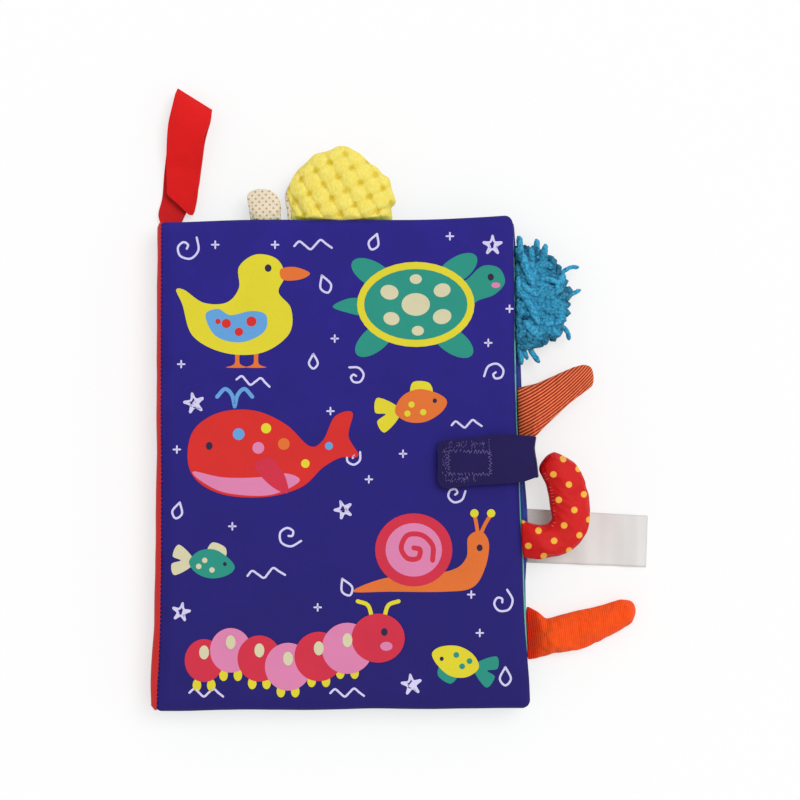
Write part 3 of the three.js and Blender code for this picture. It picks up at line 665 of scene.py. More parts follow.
# The spine: one strip of red cloth folded round the bound edges of the leaves, caught down on the
# cover with small red stitches. Each leaf carries its own fold of it.
strip_widths = [(0, 2.3), (0.06, 2.9), (0.1, 3), (0.17, 2.5), (0.3, 2.3), (0.45, 2), (0.53, 1.6), (1, 1.3)]
spine_red = cloth("spine cloth", (214, 36, 32), (178, 22, 22), crease=7)
for place, leaf in enumerate(leaf_names):
    roll = flat_grid(12, 110)
    for vert in roll.verts:
        around, along = (vert.co.x + 0.5) * math.pi, vert.co.y + 0.5
        end_share = min(along, 1 - along) * spine_height / (2.2 * mm)
        round_share = math.sqrt(1 - (1 - min(end_share, 1)) ** 2) * 0.7 + 0.3
        wobble = 0.18 * mm * drift(along * 26, place * 3, around)
        out = (read_share(strip_widths, along) * mm * round_share + wobble) * math.sin(around)
        up = 2.25 * mm * (0.6 + 0.4 * round_share) * -math.cos(around)
        bound_x = spine_edge_x(along) + (0.5 * abs(math.cos(around)) - 0.25) * mm
        vert.co = (bound_x - out, (along - 0.5) * (spine_height - 0.6 * mm), leaf_middle(leaf) + up)
    bmesh.ops.recalc_face_normals(roll, faces=roll.faces)
    fold = place_mesh(f"{leaf}_spine_fold", roll, spine_red)
    thicken(fold, 0.3 * mm, -1)
    ride_on(fold, leaf, "spine_cloth_red", f"{leaf}_spine_strip")

# Between two leaves the same red cloth runs on from fold to fold. It lies folded shut, as in the closed book.
for lower, upper in zip(leaf_names, leaf_names[1:]):
    crossing = flat_grid(8, 90)
    low, high = leaf_middle(lower), leaf_middle(upper)
    seam_z = (low + high) / 2
    reach = 0.5 * mm
    for vert in crossing.verts:
        up, along = vert.co.x * 2, vert.co.y + 0.5
        x = spine_edge_x(along) + (0.5 - 0.25 * up * up) * mm
        vert.co = (x, (along - 0.5) * (spine_height - 3 * mm), seam_z + reach * up)
    cloth_between = place_mesh(f"spine_cloth_{lower}_to_{upper}", crossing, spine_red)
    thicken(cloth_between, 0.25 * mm)
    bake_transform(cloth_between)


def sew(name, runs, radius, finish, body, slot):
    """Short stitches of thread, each from one point to the next."""
    shape = bmesh.new()
    for start, end in runs:
        way = end - start
        lay = way.to_track_quat("Z", "Y").to_matrix().to_4x4()
        size = Matrix.Diagonal((radius, radius, way.length / 2, 1))
        place = Matrix.Translation((start + end) / 2) @ lay @ size
        bmesh.ops.create_uvsphere(shape, u_segments=6, v_segments=4, radius=1, matrix=place)
    ride_on(place_mesh(name, shape, finish), body, slot)


red_thread = cloth("red thread", (222, 46, 40), (180, 22, 24), pitch=0.25 * mm, crease=2)
spine_runs = []
stitch_count = 112
for count in range(stitch_count):
    y = (count / (stitch_count - 1) - 0.5) * (spine_height - 5 * mm)
    left = spine_edge_x(y / spine_height + 0.5)
    reach = (0.75 + 0.45 * drift(count * 1.7, 0, 0)) * mm
    start = Vector((left - 0.1 * mm, y, cover_height_at(left + 0.1 * mm, y)))
    end = Vector((left + reach, y + 0.35 * mm, cover_height_at(left + reach, y) + 0.05 * mm))
    spine_runs.append((start, end))
sew("spine_stitches", spine_runs, 0.3 * mm, red_thread, "front_cover", "spine_cloth_red")

# Three stuffed tails hang out of the fore-edge seams: sewn from two like halves, turned, filled with
# fibre and caught in the page seam by their flat open end. The inner side of a bend gathers.
fore_edge_seam = 0.15 * mm


def fore_edge_x(leaf, y):
    share = (y + spine_height / 2 - foot_rise) / (spine_height + head_rise - foot_rise)
    return fore_line_x(share) + read_share(fore_reach[leaf], share) * mm


def head_edge_y(x):
    share = (x + head_width / 2 + slew) / head_width
    return spine_height / 2 + head_rise * share + (read_share(head_reach, share) - 0.5) * mm


def soft_least(first, second, spare):
    """The lesser of two lengths, with a soft turn where they meet."""
    near = max(spare - abs(first - second), 0)
    return min(first, second) - near ** 2 / (4 * spare)


def even_line(points, count):
    """The same number of steps on a smooth curve, closer towards its end, and its length."""
    fine = smooth_points(points, steps=20)
    reach = [0]
    for here, after in zip(fine, fine[1:]):
        reach.append(reach[-1] + (after - here).length)
    line, place = [], 0
    for step in range(count):
        wanted = reach[-1] * math.sin(step / (count - 1) * math.pi / 2)
        while place + 2 < len(reach) and reach[place + 1] < wanted:
            place += 1
        part = (wanted - reach[place]) / (reach[place + 1] - reach[place])
        line.append(fine[place].lerp(fine[place + 1], min(part, 1)))
    return line, reach[-1]


def let_swell(piece, held, most, pressure=4):
    """The filling pushes the sewn cloth out in a short cloth simulation, and the spare cloth folds. Held
    points stay in their seam, and no point moves further than the cap."""
    before = [vert.co.copy() for vert in piece.data.vertices]
    seam = piece.vertex_groups.new(name="seam")
    for vert in piece.data.vertices:
        seam.add([vert.index], held(vert), "REPLACE")
    drape = piece.modifiers.new("swell", "CLOTH")
    drape.settings.vertex_group_mass = "seam"
    drape.settings.use_pressure = True
    drape.settings.uniform_pressure_force = pressure
    drape.settings.shrink_min = -0.05
    drape.settings.mass = 0.001
    drape.settings.tension_stiffness = 1
    drape.settings.compression_stiffness = 1
    drape.settings.shear_stiffness = 0.4
    drape.settings.bending_stiffness = 0.004
    drape.settings.effector_weights.gravity = 0
    for step in range(1, 21):
        bpy.context.scene.frame_set(step)
    settled = piece.evaluated_get(bpy.context.evaluated_depsgraph_get()).to_mesh()
    after = [vert.co.copy() for vert in settled.vertices]
    piece.modifiers.remove(drape)
    piece.vertex_groups.remove(seam)
    bpy.context.scene.frame_set(1)
    for vert, old, new in zip(piece.data.vertices, before, after):
        move = new - old
        vert.co = old + move * min(1, most / max(move.length, most))
    finer = piece.modifiers.new("finer", "SUBSURF")
    finer.levels = 1
    finer.render_levels = 1


def stuffed_tail(name, leaf, thickness, climb, first_edge, second_edge, gather, seed, filling=False):
    """A tail between its two side seams, which meet at the tip, or the filling inside it. It gathers
    along the first seam."""
    lines = []
    for edge in (first_edge, second_edge):
        points = [Vector((x * mm, y * mm)) for x, y in edge]
        points[0].x = fore_edge_x(leaf, points[0].y) + fore_edge_seam
        lines.append(even_line(points, 73))
    (first, first_reach), (second, second_reach) = lines
    low, stations, sides, full = (4, 58, 20, 0.8) if filling else (0, 72, 48, 1)
    middle = leaf_middle(leaf)
    shape = flat_grid(stations, sides)
    for vert in shape.verts:
        step = low + round((vert.co.x + 0.5) * stations)
        around = (vert.co.y + 0.5) * 2 * math.pi
        share = math.sin(step / 72 * math.pi / 2)
        from_root = share * (first_reach + second_reach) / 2
        arm = (first[step] - second[step]) / 2
        high = soft_least(thickness / 2, 0.95 * arm.length, 1 * mm)
        high = soft_least(high, 1.4 * mm + climb * from_root, 3.5 * mm)
        seam = math.exp(-(math.sin(around) / 0.3) ** 2)
        bend = read_share(gather, share) * (0.5 + 0.5 * math.cos(around)) ** 2
        root_pull = math.exp(-from_root / (7 * mm))
        pucker = drift(from_root / (2.2 * mm), math.cos(around) * 1.5, seed)
        fold = drift(from_root / (2.8 * mm), math.sin(around) * 1.2, seed + 4)
        gathered = drift(math.cos(around) * 6, math.sin(around) * 3, seed + 9)
        soft = drift(from_root / (13 * mm), math.cos(around) * 1.4, seed + 2 + math.sin(around))
        swell = (0.3 * pucker * seam + 0.8 * fold * bend + 0.5 * gathered * root_pull + 0.35 * soft) * mm
        swell *= min(arm.length / (3 * mm), 1)
        wide = arm.normalized() * math.cos(around) * (arm.length + 0.5 * swell) * full
        flat = (first[step] + second[step]) / 2 + wide
        up = math.sin(around) * (high + swell * min(from_root / (4 * mm), 1)) * full
        vert.co = (flat.x, flat.y, middle + up + max(high - middle, 0))
    close_up(shape, 0.01 * mm)
    slot, finish = ("stuffing", fibre) if filling else tail_cloths[name.split("_")[0]]
    piece = place_mesh(name, shape, finish)
    if not filling:
        def in_seam(vert):
            beside = 1 - (vert.co.x - fore_edge_x(leaf, vert.co.y) - 3 * mm) / (5 * mm)
            return 1 if abs(vert.normal.z) < 0.3 else min(max(beside, 0), 1)
        let_swell(piece, in_seam, 0.8 * mm)
    root = (first[0] + second[0]) / 2
    kind = f"{name.split('_')[0]}_tail"
    nodes = [f"{kind}_stuffing"] if filling else [f"{kind}_top_skin", f"{kind}_bottom_skin"]
    sew_in(piece, leaf, kind, root, (7 * mm, 0), slot, 0 if filling else 0.75, *nodes)


def close_up(shape, spare):
    """Merges the points that meet, closes the open ends and turns all faces outwards."""
    bmesh.ops.remove_doubles(shape, verts=shape.verts, dist=spare)
    bmesh.ops.holes_fill(shape, edges=[edge for edge in shape.edges if edge.is_boundary], sides=0)
    bmesh.ops.recalc_face_normals(shape, faces=shape.faces)


def sew_in(piece, leaf, body, root, free, slot, fill=0, *nodes):
    """A soft piece stays where it was built and takes the place of nodes of the frame. Its leaf, root and free
    reach are not used.
    """
    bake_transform(piece)
    if nodes:
        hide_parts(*nodes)


def ribbed(valley_shade, pitch, start, slope, bow):
    """Raised ribs that climb more steeply the further they are from the page, with painted shade that darkens the
    valleys.
    """
    def paint_ribs(tree, under, height):
        parts = axes(tree)
        out = math_node(tree, "SUBTRACT", parts["X"], start)
        climb = times(tree, out, total(tree, times(tree, out, bow), slope))
        level = ranged(tree, waves(tree, math_node(tree, "SUBTRACT", parts["Y"], climb), pitch), -0.75, 0.55)
        raised = total(tree, times(tree, level, 1.6), times(tree, height, 0.4))
        return mixed(tree, level, srgb(*valley_shade), under), raised
    return paint_ribs


def knitted(tree, under, height):
    """Fine upright columns of knit, with painted shade between the columns and a deeper red painted beside the
    page as the shade under the cover.
    """
    parts = axes(tree, math.radians(-6))
    column, course = waves(tree, parts["X"], 0.98 * mm), waves(tree, parts["Y"], 0.9 * mm)
    # Painted shade: the gaps between the knit columns are a deeper orange.
    valley_shade = times(tree, math_node(tree, "SUBTRACT", 1, column), times(tree, mottled(tree, 420), 0.55))
    stitch = times(tree, total(tree, column, 1), total(tree, course, 2))
    # Painted shade: beside the page the knit turns a deeper red, as if shaded by the cover.
    root = add_node(tree, "MapRange", {"Value": axes(tree)["X"], "From Min": 0.1, "From Max": 0.086})
    root.interpolation_type = "SMOOTHSTEP"
    body = mixed(tree, valley_shade, under, srgb(238, 58, 2))
    raised = total(tree, times(tree, stitch, 0.3), height)
    return mixed(tree, root.outputs["Result"], body, srgb(255, 22, 0)), raised


tails = {
    "dotted": ("front_cover", 14 * mm, 0.8, [
        (85, -24.7), (87.5, -25.7), (91, -26.9), (95.1, -27.4), (98.5, -26.6), (99.8, -24.3), (99.6, -21.5),
        (98.9, -18.4), (98.4, -14.3), (97.7, -10.8), (96.8, -8.1), (95.5, -5.3), (94.3, -2.9), (94, -0.5),
        (94.8, 1.6), (96.8, 4.2), (98.9, 5.9), (101, 6.8),
    ], [
        (86.3, -42.7), (88.2, -42.9), (91.7, -43.6), (95.1, -43.5), (99.3, -42.7), (103.4, -41.7),
        (107.5, -39.9), (111, -37.4), (114.1, -33.9), (116.2, -30.1), (117.2, -26), (117.6, -21.9),
        (117.3, -17), (116.9, -12.9), (115.9, -8.7), (114.8, -5.3), (113.2, -1.9), (111, 1.3), (108.6, 3.1),
        (105.8, 4.7), (103.1, 6.1), (101, 6.8),
    ], [(0, 0.1), (0.15, 0.5), (0.3, 1), (0.5, 0.8), (0.75, 0.2), (1, 0.1)], 3),
    "ribbed": ("leaf_1", 12 * mm, 0.8, [
        (83.5, 36.4), (87.8, 37.8), (92.7, 39), (98.2, 41.3), (103.1, 43.4), (107.2, 45.2), (111.4, 47.1),
        (114.9, 47.9), (117.3, 47.5), (119, 46.2), (119.9, 43.7),
    ], [
        (84.4, 12.4), (87.1, 12.4), (89.9, 12.7), (92.3, 13.8), (96.2, 17.7), (99.6, 21), (103.8, 25),
        (107.6, 28.5), (111.4, 31.6), (114.9, 34.4), (118, 36.7), (119.6, 38.5), (120, 41), (119.9, 43.7),
    ], [(0, 0.2), (1, 0.1)], 13),
    "knit": ("back_cover", 11 * mm, 0.5, [
        (87.8, -67.1), (89.3, -67.3), (91.3, -68.1), (93.7, -69.4), (96.1, -71.1), (98.3, -72.8),
        (100.5, -72.2), (103.4, -71.3), (106.3, -70.5), (110.2, -69.5), (115.1, -68.4), (119.9, -67.4),
        (124.8, -66.2), (127.7, -65.3), (130.6, -64.3), (133.5, -63.7), (136.4, -63.8), (138.9, -64.7),
        (140.3, -66.2), (141, -68.4),
    ], [
        (88.9, -92.5), (90.8, -92.5), (92.7, -92.1), (95.6, -91.2), (98.5, -90.4), (101.9, -89.2), (105.3, -89),
        (109.2, -88.3), (113.1, -87.4), (117.5, -85.9), (121.9, -84.1), (127.2, -81.5), (132.1, -78.9),
        (135.9, -76.7), (138.6, -74.9), (140.1, -72.5), (140.9, -70.6), (141, -68.4),
    ], [(0, 0.2), (0.1, 0.6), (0.2, 0.6), (0.35, 0.1), (1, 0.1)], 23),
}
satin_dots = dotted((244, 184, 58), 8.6 * mm, 1.5 * mm, math.radians(33))
# The corduroy's valleys get a dark red-brown as painted shade.
ribs = ribbed((186, 18, 0), 1.6 * mm, 0.085, 0.47, 9.5)
tail_cloths = {
    "dotted": ("satin_dots_red", cloth(
        "red satin with dots", (226, 6, 6), (190, 2, 4), crease=9, depth=0.14 * mm, rough=0.5, sheen=0,
        pattern=satin_dots,
    )),
    "ribbed": ("corduroy_orange", cloth(
        "orange corduroy", (255, 146, 92), (255, 130, 78), crease=3, depth=0.4 * mm, rough=0.9, sheen=0.02,
        pattern=ribs,
    )),
    "knit": ("knit_orange", cloth(
        "orange knit", (255, 98, 20), (254, 78, 10), pitch=0.9 * mm, crease=2, depth=0.12 * mm, rough=0.9,
        sheen=0.05, pattern=knitted,
    )),
}
fibre = cloth("fibre filling", (248, 246, 240), (230, 228, 222), pitch=1.2 * mm, crease=9, rough=0.95)
for kind, rows in tails.items():
    stuffed_tail(f"{kind}_tail_cloth", *rows)
    stuffed_tail(f"{kind}_tail_filling", *rows, filling=True)
refinish("chenille_stuffing", fibre)


def top_of(piece, lift):
    """Finds the top of a piece at a place, for the stitches that lie on it."""
    points = [vert.co for vert in piece.data.vertices]
    surface = BVHTree.FromPolygons(points, [face.vertices for face in piece.data.polygons])

    def find_top(x, y):
        return surface.ray_cast(Vector((x, y, 0.1)), Vector((0, 0, -1)))[0] + Vector((0, 0, lift))
    return find_top


# The opening that the dotted tail was filled through is closed by hand with pale thread, inside its bend.
pale_thread = cloth("pale thread", (240, 170, 150), (222, 120, 104), pitch=0.25 * mm, crease=2)
on_tail = top_of(bpy.data.objects["dotted_tail_cloth"], 0.05 * mm)
inner_line, outer_line = (
    even_line([Vector((x * mm, y * mm)) for x, y in edge], 91)[0] for edge in tails["dotted"][3:5]
)
closing_runs = []
for step in range(16, 50, 2):
    inward = (outer_line[step] - inner_line[step]).normalized()
    near = inner_line[step] + inward * (1.2 + 0.5 * drift(step, 0, 0)) * mm
    far = inner_line[step + 1] + inward * (2.7 + 0.7 * drift(step, 5, 0)) * mm
    closing_runs.append((on_tail(*near), on_tail(*far)))
sew("tail_closing_stitches", closing_runs, 0.13 * mm, pale_thread, "dotted_tail", "satin_dots_red")

# The plush disc: popcorn plush in front and dotted cotton behind, sewn round their edge and filled. The
# plush is moulded into soft lumps that meet in creases, with a small pit between every four.
plush_pitch = 7.8 * mm
plush_turn = math.radians(30)
plush_pit = (-0.5 * mm, 136.2 * mm)


def bumpy(x, y):
    """Height of the plush between its pits and the top of its lumps, from -1 to 1."""
    out, up = x - plush_pit[0], y - plush_pit[1]
    across = math.pi * ((out * math.cos(plush_turn) + up * math.sin(plush_turn)) / plush_pitch + 0.5)
    along = math.pi * ((up * math.cos(plush_turn) - out * math.sin(plush_turn)) / plush_pitch + 0.5)
    lump = math.sqrt(abs(math.cos(across) * math.cos(along)))
    pit = (1 - (math.cos(2 * across) + math.cos(2 * along)) / 2) / 2
    return 1.2 * lump - 0.2 - pit ** 3


def puff_half(name, finish, leaf, outline, thickness, side, rings, from_root, root_room, bump=0, seed=0):
    """One side of a filled flat shape, spread from the middle of its root. It is domed up from its seam,
    and its seam allowance is turned in."""
    middle = leaf_middle(leaf)
    spokes = len(outline) - 1
    centre = tuple((first + last) / 2 for first, last in zip(outline[0], outline[-1]))
    shape = flat_grid(rings + 2, spokes)
    for vert in shape.verts:
        ring = round((vert.co.x + 0.5) * (rings + 2))
        share = math.sin(min(ring / rings, 1) * math.pi / 2) - 0.05 * max(ring - rings, 0)
        spoke = round((vert.co.y + 0.5) * spokes)
        x, y = (start + (end - start) * share for start, end in zip(centre, outline[spoke]))
        dome = math.sqrt(max(1 - share ** 2.6, 0))
        level = bumpy(x, y) if bump else 0
        pucker = drift(x / (2.5 * mm), y / (2.5 * mm), seed) * math.exp(-(1 - share) / 0.08)
        soft = drift(x / (9 * mm), y / (9 * mm), seed + 4)
        rise = 0.15 * mm + (thickness / 2 - 0.15 * mm + bump * level + 0.25 * mm * (pucker + soft)) * dome
        out = from_root(x, y)
        rise = max(soft_least(rise, root_room + 1.6 * max(out, 0), 2 * mm), 0.12 * mm)
        if spoke in (0, spokes):
            # The two spokes that run along the root are drawn onto its seam line and close the root.
            rise = 0.12 * mm
            x, y = x - out * (from_root(x + mm, y) - out) / mm, y - out * (from_root(x, y + mm) - out) / mm
        vert.co = (x, y, middle + (side * rise if ring <= rings else -side * 0.5 * mm))
    bmesh.ops.remove_doubles(shape, verts=shape.verts, dist=0.01 * mm)
    bmesh.ops.recalc_face_normals(shape, faces=shape.faces)
    if max(shape.faces, key=lambda face: side * face.calc_center_median().z).normal.z * side < 0:
        bmesh.ops.reverse_faces(shape, faces=shape.faces)
    piece = place_mesh(name, shape, finish)
    if seed:
        def in_seam(vert):
            return 1 if abs(vert.co.z - middle) < 1 * mm or from_root(vert.co.x, vert.co.y) < 1.5 * mm else 0
        let_swell(piece, in_seam, 0.6 * mm)
    return piece


def above_head(x, y):
    return y - head_edge_y(x) - fore_edge_seam


def rooted(points):
    """An outline that starts and ends in the head seam, from left to right."""
    curve = smooth_points([(x * mm, y * mm) for x, y in points], steps=5)
    for end in (curve[0], curve[-1]):
        end.y = head_edge_y(end.x) + fore_edge_seam
    return [tuple(point) for point in curve]


def plush_nap_and_pit_shade(tree, under, height):
    """Painted shade: darker, warmer yellow in the pits of the plush and along the creases between its lumps. Also
    a nap of short upright loops.
    """
    from_pit = add_node(tree, "VectorMath", {0: object_place(tree), 1: (*plush_pit, 0)})
    from_pit.operation = "SUBTRACT"
    turned = add_node(tree, "Mapping", {"Vector": from_pit.outputs[0], "Rotation": (0, 0, -plush_turn)})
    parts = add_node(tree, "SeparateXYZ", {0: turned.outputs["Vector"]}).outputs
    level = total(tree, *(waves(tree, parts[axis], plush_pitch, "COSINE") for axis in "XY"))
    lump = times(tree, *(waves(tree, parts[axis], 2 * plush_pitch) for axis in "XY"))
    # Painted shade along the creases between the lumps, and in the pits.
    crease_shade = ranged(tree, math_node(tree, "ABSOLUTE", lump), 0.02, 0.3, 0.16, 0)
    pit = ranged(tree, total(tree, level, times(tree, mottled(tree, 420), 2.4)), 2.2, 3.3)
    upright = add_node(tree, "Mapping", {"Vector": object_place(tree, math.radians(8)), "Scale": (1, 0.35, 1)})
    loop = ranged(tree, mottled(tree, 1300, 1, upright.outputs["Vector"]), 0.35, 0.65)
    looped = mixed(tree, loop, srgb(248, 226, 92), under)
    looped = mixed(tree, crease_shade, looped, srgb(226, 192, 40))
    return mixed(tree, pit, looped, srgb(222, 190, 20)), total(tree, height, times(tree, loop, 0.7))


disc_outline = rooted([
    (-22.4, 117.2), (-22.9, 120.8), (-23.9, 124.9), (-24.7, 127.9), (-23.9, 132), (-21.8, 136.6),
    (-19.8, 139.5), (-16.2, 142.8), (-13.7, 145.3), (-11.6, 147.3), (-7, 148.4), (-3.9, 149.4), (-1.6, 150.7),
    (0.7, 151.1), (3.5, 150.7), (6.3, 149.4), (9.4, 147.7), (11.2, 146.1), (14, 143.3), (18.1, 140.7),
    (20.1, 138.2), (23.2, 136.1), (24.2, 133.6), (24.7, 131), (25.8, 127.9), (26.6, 125.1), (26, 123.3),
    (24.6, 122.1), (24.8, 119.8), (25, 118),
])
plush = cloth(
    "popcorn plush", (254, 242, 136), (252, 234, 112), pitch=1.1 * mm, crease=3, depth=0.4 * mm, rough=0.95,
    sheen=0.1, pattern=plush_nap_and_pit_shade,
)
disc_root = (1 * mm, disc_outline[0][1])
disc_room = 4.6 * mm
popcorn = puff_half(
    "popcorn_plush", plush, "leaf_1", disc_outline, 13.4 * mm, 1, 60, above_head, disc_room, 1.2 * mm, 2,
)
sew_in(popcorn, "leaf_1", "popcorn_disc", disc_root, (0, 7 * mm), "popcorn_plush_yellow", 0.7, "popcorn_face")

beige_dots = cloth(
    "beige cotton with dots", (240, 229, 208), (222, 206, 182), crease=6, depth=0.12 * mm, rough=0.8, sheen=0.05,
    pattern=dotted((196, 158, 104), 2.32 * mm, 0.52 * mm, math.radians(42)),
)
back_outline = rooted([
    (-24.5, 117.2), (-24.9, 121), (-25.6, 125.1), (-25.6, 128.1), (-24.5, 131.7), (-21.3, 136.7), (-16, 142.3),
    (-8, 147.3), (0, 149.4), (8, 147.1), (17, 140.3), (22.8, 134.5), (25, 127), (24.2, 121.8), (24.3, 118),
])
popcorn_back = puff_half(
    "popcorn_back_cotton", beige_dots, "leaf_1", back_outline, 13 * mm, -1, 36, above_head, disc_room, 0, 5,
)
sew_in(popcorn_back, "leaf_1", "popcorn_disc", disc_root, (0, 7 * mm), "cotton_dots_beige", 0.7, "popcorn_back")

filling_outline = [
    (disc_root[0] + (x - disc_root[0]) * 0.88, disc_root[1] + (y - disc_root[1]) * 0.86 + 2.4 * mm)
    for x, y in back_outline
]
for side, name, nodes in ((1, "popcorn_filling_top", ["popcorn_stuffing"]), (-1, "popcorn_filling_bottom", [])):
    filling = puff_half(name, fibre, "leaf_1", filling_outline, 8 * mm, side, 16, above_head, 0.6 * mm)
    sew_in(filling, "leaf_1", "popcorn_disc", disc_root, (0, 7 * mm), "stuffing", 0, *nodes)

# The tab: a rounded loop of dotted cotton in the same seam as the disc, a little wider than its root.
tab_outline = rooted([
    (-42, 116.2), (-42.7, 120.8), (-43.3, 124.9), (-43.6, 126.7), (-43.1, 128.5), (-41.8, 129.7),
    (-39.8, 130.6), (-36.7, 130.9), (-33.6, 130.6), (-31.1, 129.2), (-29.3, 127.2), (-28.1, 124.9),
    (-27.6, 121.8), (-27.7, 118.7), (-27.6, 116.6),
])
tab_root = (-35 * mm, tab_outline[0][1])
for side, node in ((1, "dotted_tab_front"), (-1, "dotted_tab_back")):
    tab_piece = puff_half(
        f"{node}_cotton", beige_dots, "leaf_1", tab_outline, 6 * mm, side, 18, above_head, 2.8 * mm, 0, 7 + side,
    )
    sew_in(tab_piece, "leaf_1", "dotted_tab", tab_root, (0, 5 * mm), "cotton_dots_beige", 0.4, node)

# The chenille mop: half an oval of filled backing cloth, set all over with short cords of chenille yarn
# that lie every way on each other. Some of them hang out round the edge.
mop_y = 0.3405 * spine_height
mop_root = fore_edge_x("leaf_2", mop_y) + fore_edge_seam
mop_z = leaf_middle("leaf_2")
mop_reach = 20.4 * mm
mop_half = 23.5 * mm
mop_outline = []
for step in range(61):
    angle = (step / 60 - 0.5) * math.pi
    x, y = mop_root + mop_reach * math.cos(angle), mop_y + mop_half * math.sin(angle)
    mop_outline.append((x + fore_edge_x("leaf_2", y) - fore_edge_x("leaf_2", mop_y), y))


def beside_page(x, y):
    return x - fore_edge_x("leaf_2", y) - fore_edge_seam


def tufts_with_painted_shade(tree, under, height):
    """Tufts of yarn with painted shade: dark gaps between the tufts, and darker yarn where it lies low."""
    low = tree.nodes.new("ShaderNodeAttribute")
    low.attribute_name = "pile_shade_and_tone"
    tuft = add_node(tree, "TexVoronoi", {"Vector": object_place(tree), "Scale": 700}).outputs["Distance"]
    tufted = mixed(tree, ranged(tree, tuft, 0.3, 0.9), under, srgb(24, 116, 164))
    raised = math_node(tree, "SUBTRACT", times(tree, height, 0.5), tuft)
    return mixed(tree, low.outputs["Fac"], srgb(2, 40, 70), tufted), raised


chenille = cloth(
    "chenille yarn", (88, 204, 236), (36, 152, 202), pitch=0.8 * mm, crease=3, depth=0.7 * mm, rough=0.95,
    sheen=0.05, pattern=tufts_with_painted_shade,
)
# Painted shade: the backing is a much darker blue than the yarn, for the shade in the gaps between the cords.
backing = cloth("mop backing", (14, 84, 126), (8, 56, 92), pitch=0.8 * mm, crease=4, depth=0.2 * mm, rough=0.9)
for side, name, node in ((1, "mop_backing", "chenille_top"), (-1, "mop_underside", "chenille_back")):
    mop_piece = puff_half(name, backing, "leaf_2", mop_outline, 14.6 * mm, side, 20, beside_page, 1.8 * mm)
    sew_in(mop_piece, "leaf_2", "chenille_mop", (mop_root, mop_y), (7 * mm, 0), "chenille_blue", 0.6, node)

rng = random.Random(5)
cords = []
cord_count = 310
cord_rings = 12
pile_reach = 23.4 * mm
pile_half = 23 * mm
pile_y = 80.2 * mm
for count in range(cord_count):
    spread = 0.97 * math.sqrt((count + 0.5) / cord_count)
    rim_x, rim_y = mop_outline[int(count * 0.618034 % 1 * len(mop_outline))]
    base = Vector((mop_root + (rim_x - mop_root) * spread, mop_y + (rim_y - mop_y) * spread))
    heading = rng.uniform(-math.pi, math.pi)
    reach = rng.uniform(7.5, 11.5) * mm
    radius = rng.uniform(1.3, 1.85) * mm
    bow = rng.uniform(-1.4, 1.4)
    dome = math.sqrt(max(1 - spread ** 2.6, 0))
    low = min(0.4 * mm + 6.4 * mm * dome, 1.2 * mm + beside_page(*base)) + rng.uniform(-0.6, 1.8) * mm
    climb = rng.uniform(-0.2, 0.45)
    free = rng.uniform(0.93, 1.05)
    place = Vector((base.x, base.y, mop_z + low))
    middle_line = [place.copy()]
    for ring in range(1, cord_rings + 1):
        part = ring / cord_rings
        heading_here = heading + bow * part
        step = Vector((math.cos(heading_here), math.sin(heading_here), climb * (1 - 1.6 * part)))
        place = place + step.normalized() * reach / cord_rings
        out, up = (place.x - mop_root) / pile_reach, (place.y - pile_y) / pile_half
        bulge = 1 + 0.1 * math.exp(-((math.atan2(up, out) + 0.85) / 0.3) ** 2)
        over = math.hypot(out, up) / (free * bulge)
        if over > 1:
            place.x, place.y = mop_root + pile_reach * out / over, pile_y + pile_half * up / over
        place.x = max(place.x, fore_edge_x("leaf_1", place.y) + radius)
        if place.x < fore_edge_x("leaf_2", place.y) + radius:
            place.z = max(place.z, mop_z + 0.8 * mm + radius)
        middle_line.append(place.copy())
    # Painted shade: cords that lie low or near the page are darker. Each cord also gets its own random tone.
    shade = min(max((place.z - 10 * mm) / (4.5 * mm), 0.15 + 0.4 * spread), 1) * rng.uniform(0.75, 1)
    cords.append((radius, middle_line, shade * min(0.55 + 0.06 * beside_page(*base) / mm, 1)))
# Fourteen cords lie on top or stick out where the book shows them, as radius and points in millimetres.
for radius, points in (
    (1.6, [(85.9, 99.5, 14.5), (85.4, 104, 13), (84.9, 107.6, 11.4)]),
    (1.45, [(94, 98, 13), (93.5, 103, 11.5), (93.3, 106.3, 10)]),
    (1.45, [(97.1, 96.6, 12.5), (97.1, 101, 11), (97.4, 104, 10)]),
    (1.05, [(103.6, 88.8, 11), (106.4, 92.3, 10.6), (109.7, 94, 10), (112.6, 94.1, 9.4)]),
    (1.1, [(105.3, 78.4, 10.5), (109.7, 81.1, 9.6), (113.5, 83.1, 8.8)]),
    (1.2, [(104.4, 67.2, 10.5), (107.8, 63.5, 9.4), (108.6, 60.5, 8.8)]),
    (1.4, [(88.4, 59.5, 11), (91.2, 53.6, 9.6), (94, 49.8, 8.6)]),
    (1.25, [(86, 58, 12.2), (87.4, 54.1, 10.9), (88.6, 51.3, 10.2)]),
    (1.35, [(85, 58.5, 13), (85.4, 53, 11.4), (86, 49, 10.6)]),
    (1.9, [(86.2, 99.5, 15.2), (88, 93.2, 17.2), (90.4, 86.5, 17.6)]),
    (1.6, [(85.6, 87.7, 15), (88, 84, 17.2), (92.6, 81.1, 17.4)]),
    (1.8, [(85.7, 81.9, 15.2), (89.4, 76.3, 17.6), (93.5, 68.1, 17)]),
    (2, [(87.9, 67.4, 16), (90.9, 64.3, 16.2), (93.8, 61.6, 14.4)]),
    (1.8, [(102.4, 82.6, 15.6), (104.2, 86.9, 14.6), (105.6, 89.6, 13)]),
):
    curve = smooth_points([Vector(point) * mm for point in points], steps=6)
    middle_line = [curve[round(ring / cord_rings * (len(curve) - 1))] for ring in range(cord_rings + 1)]
    cords.append((radius * mm, middle_line, 1))

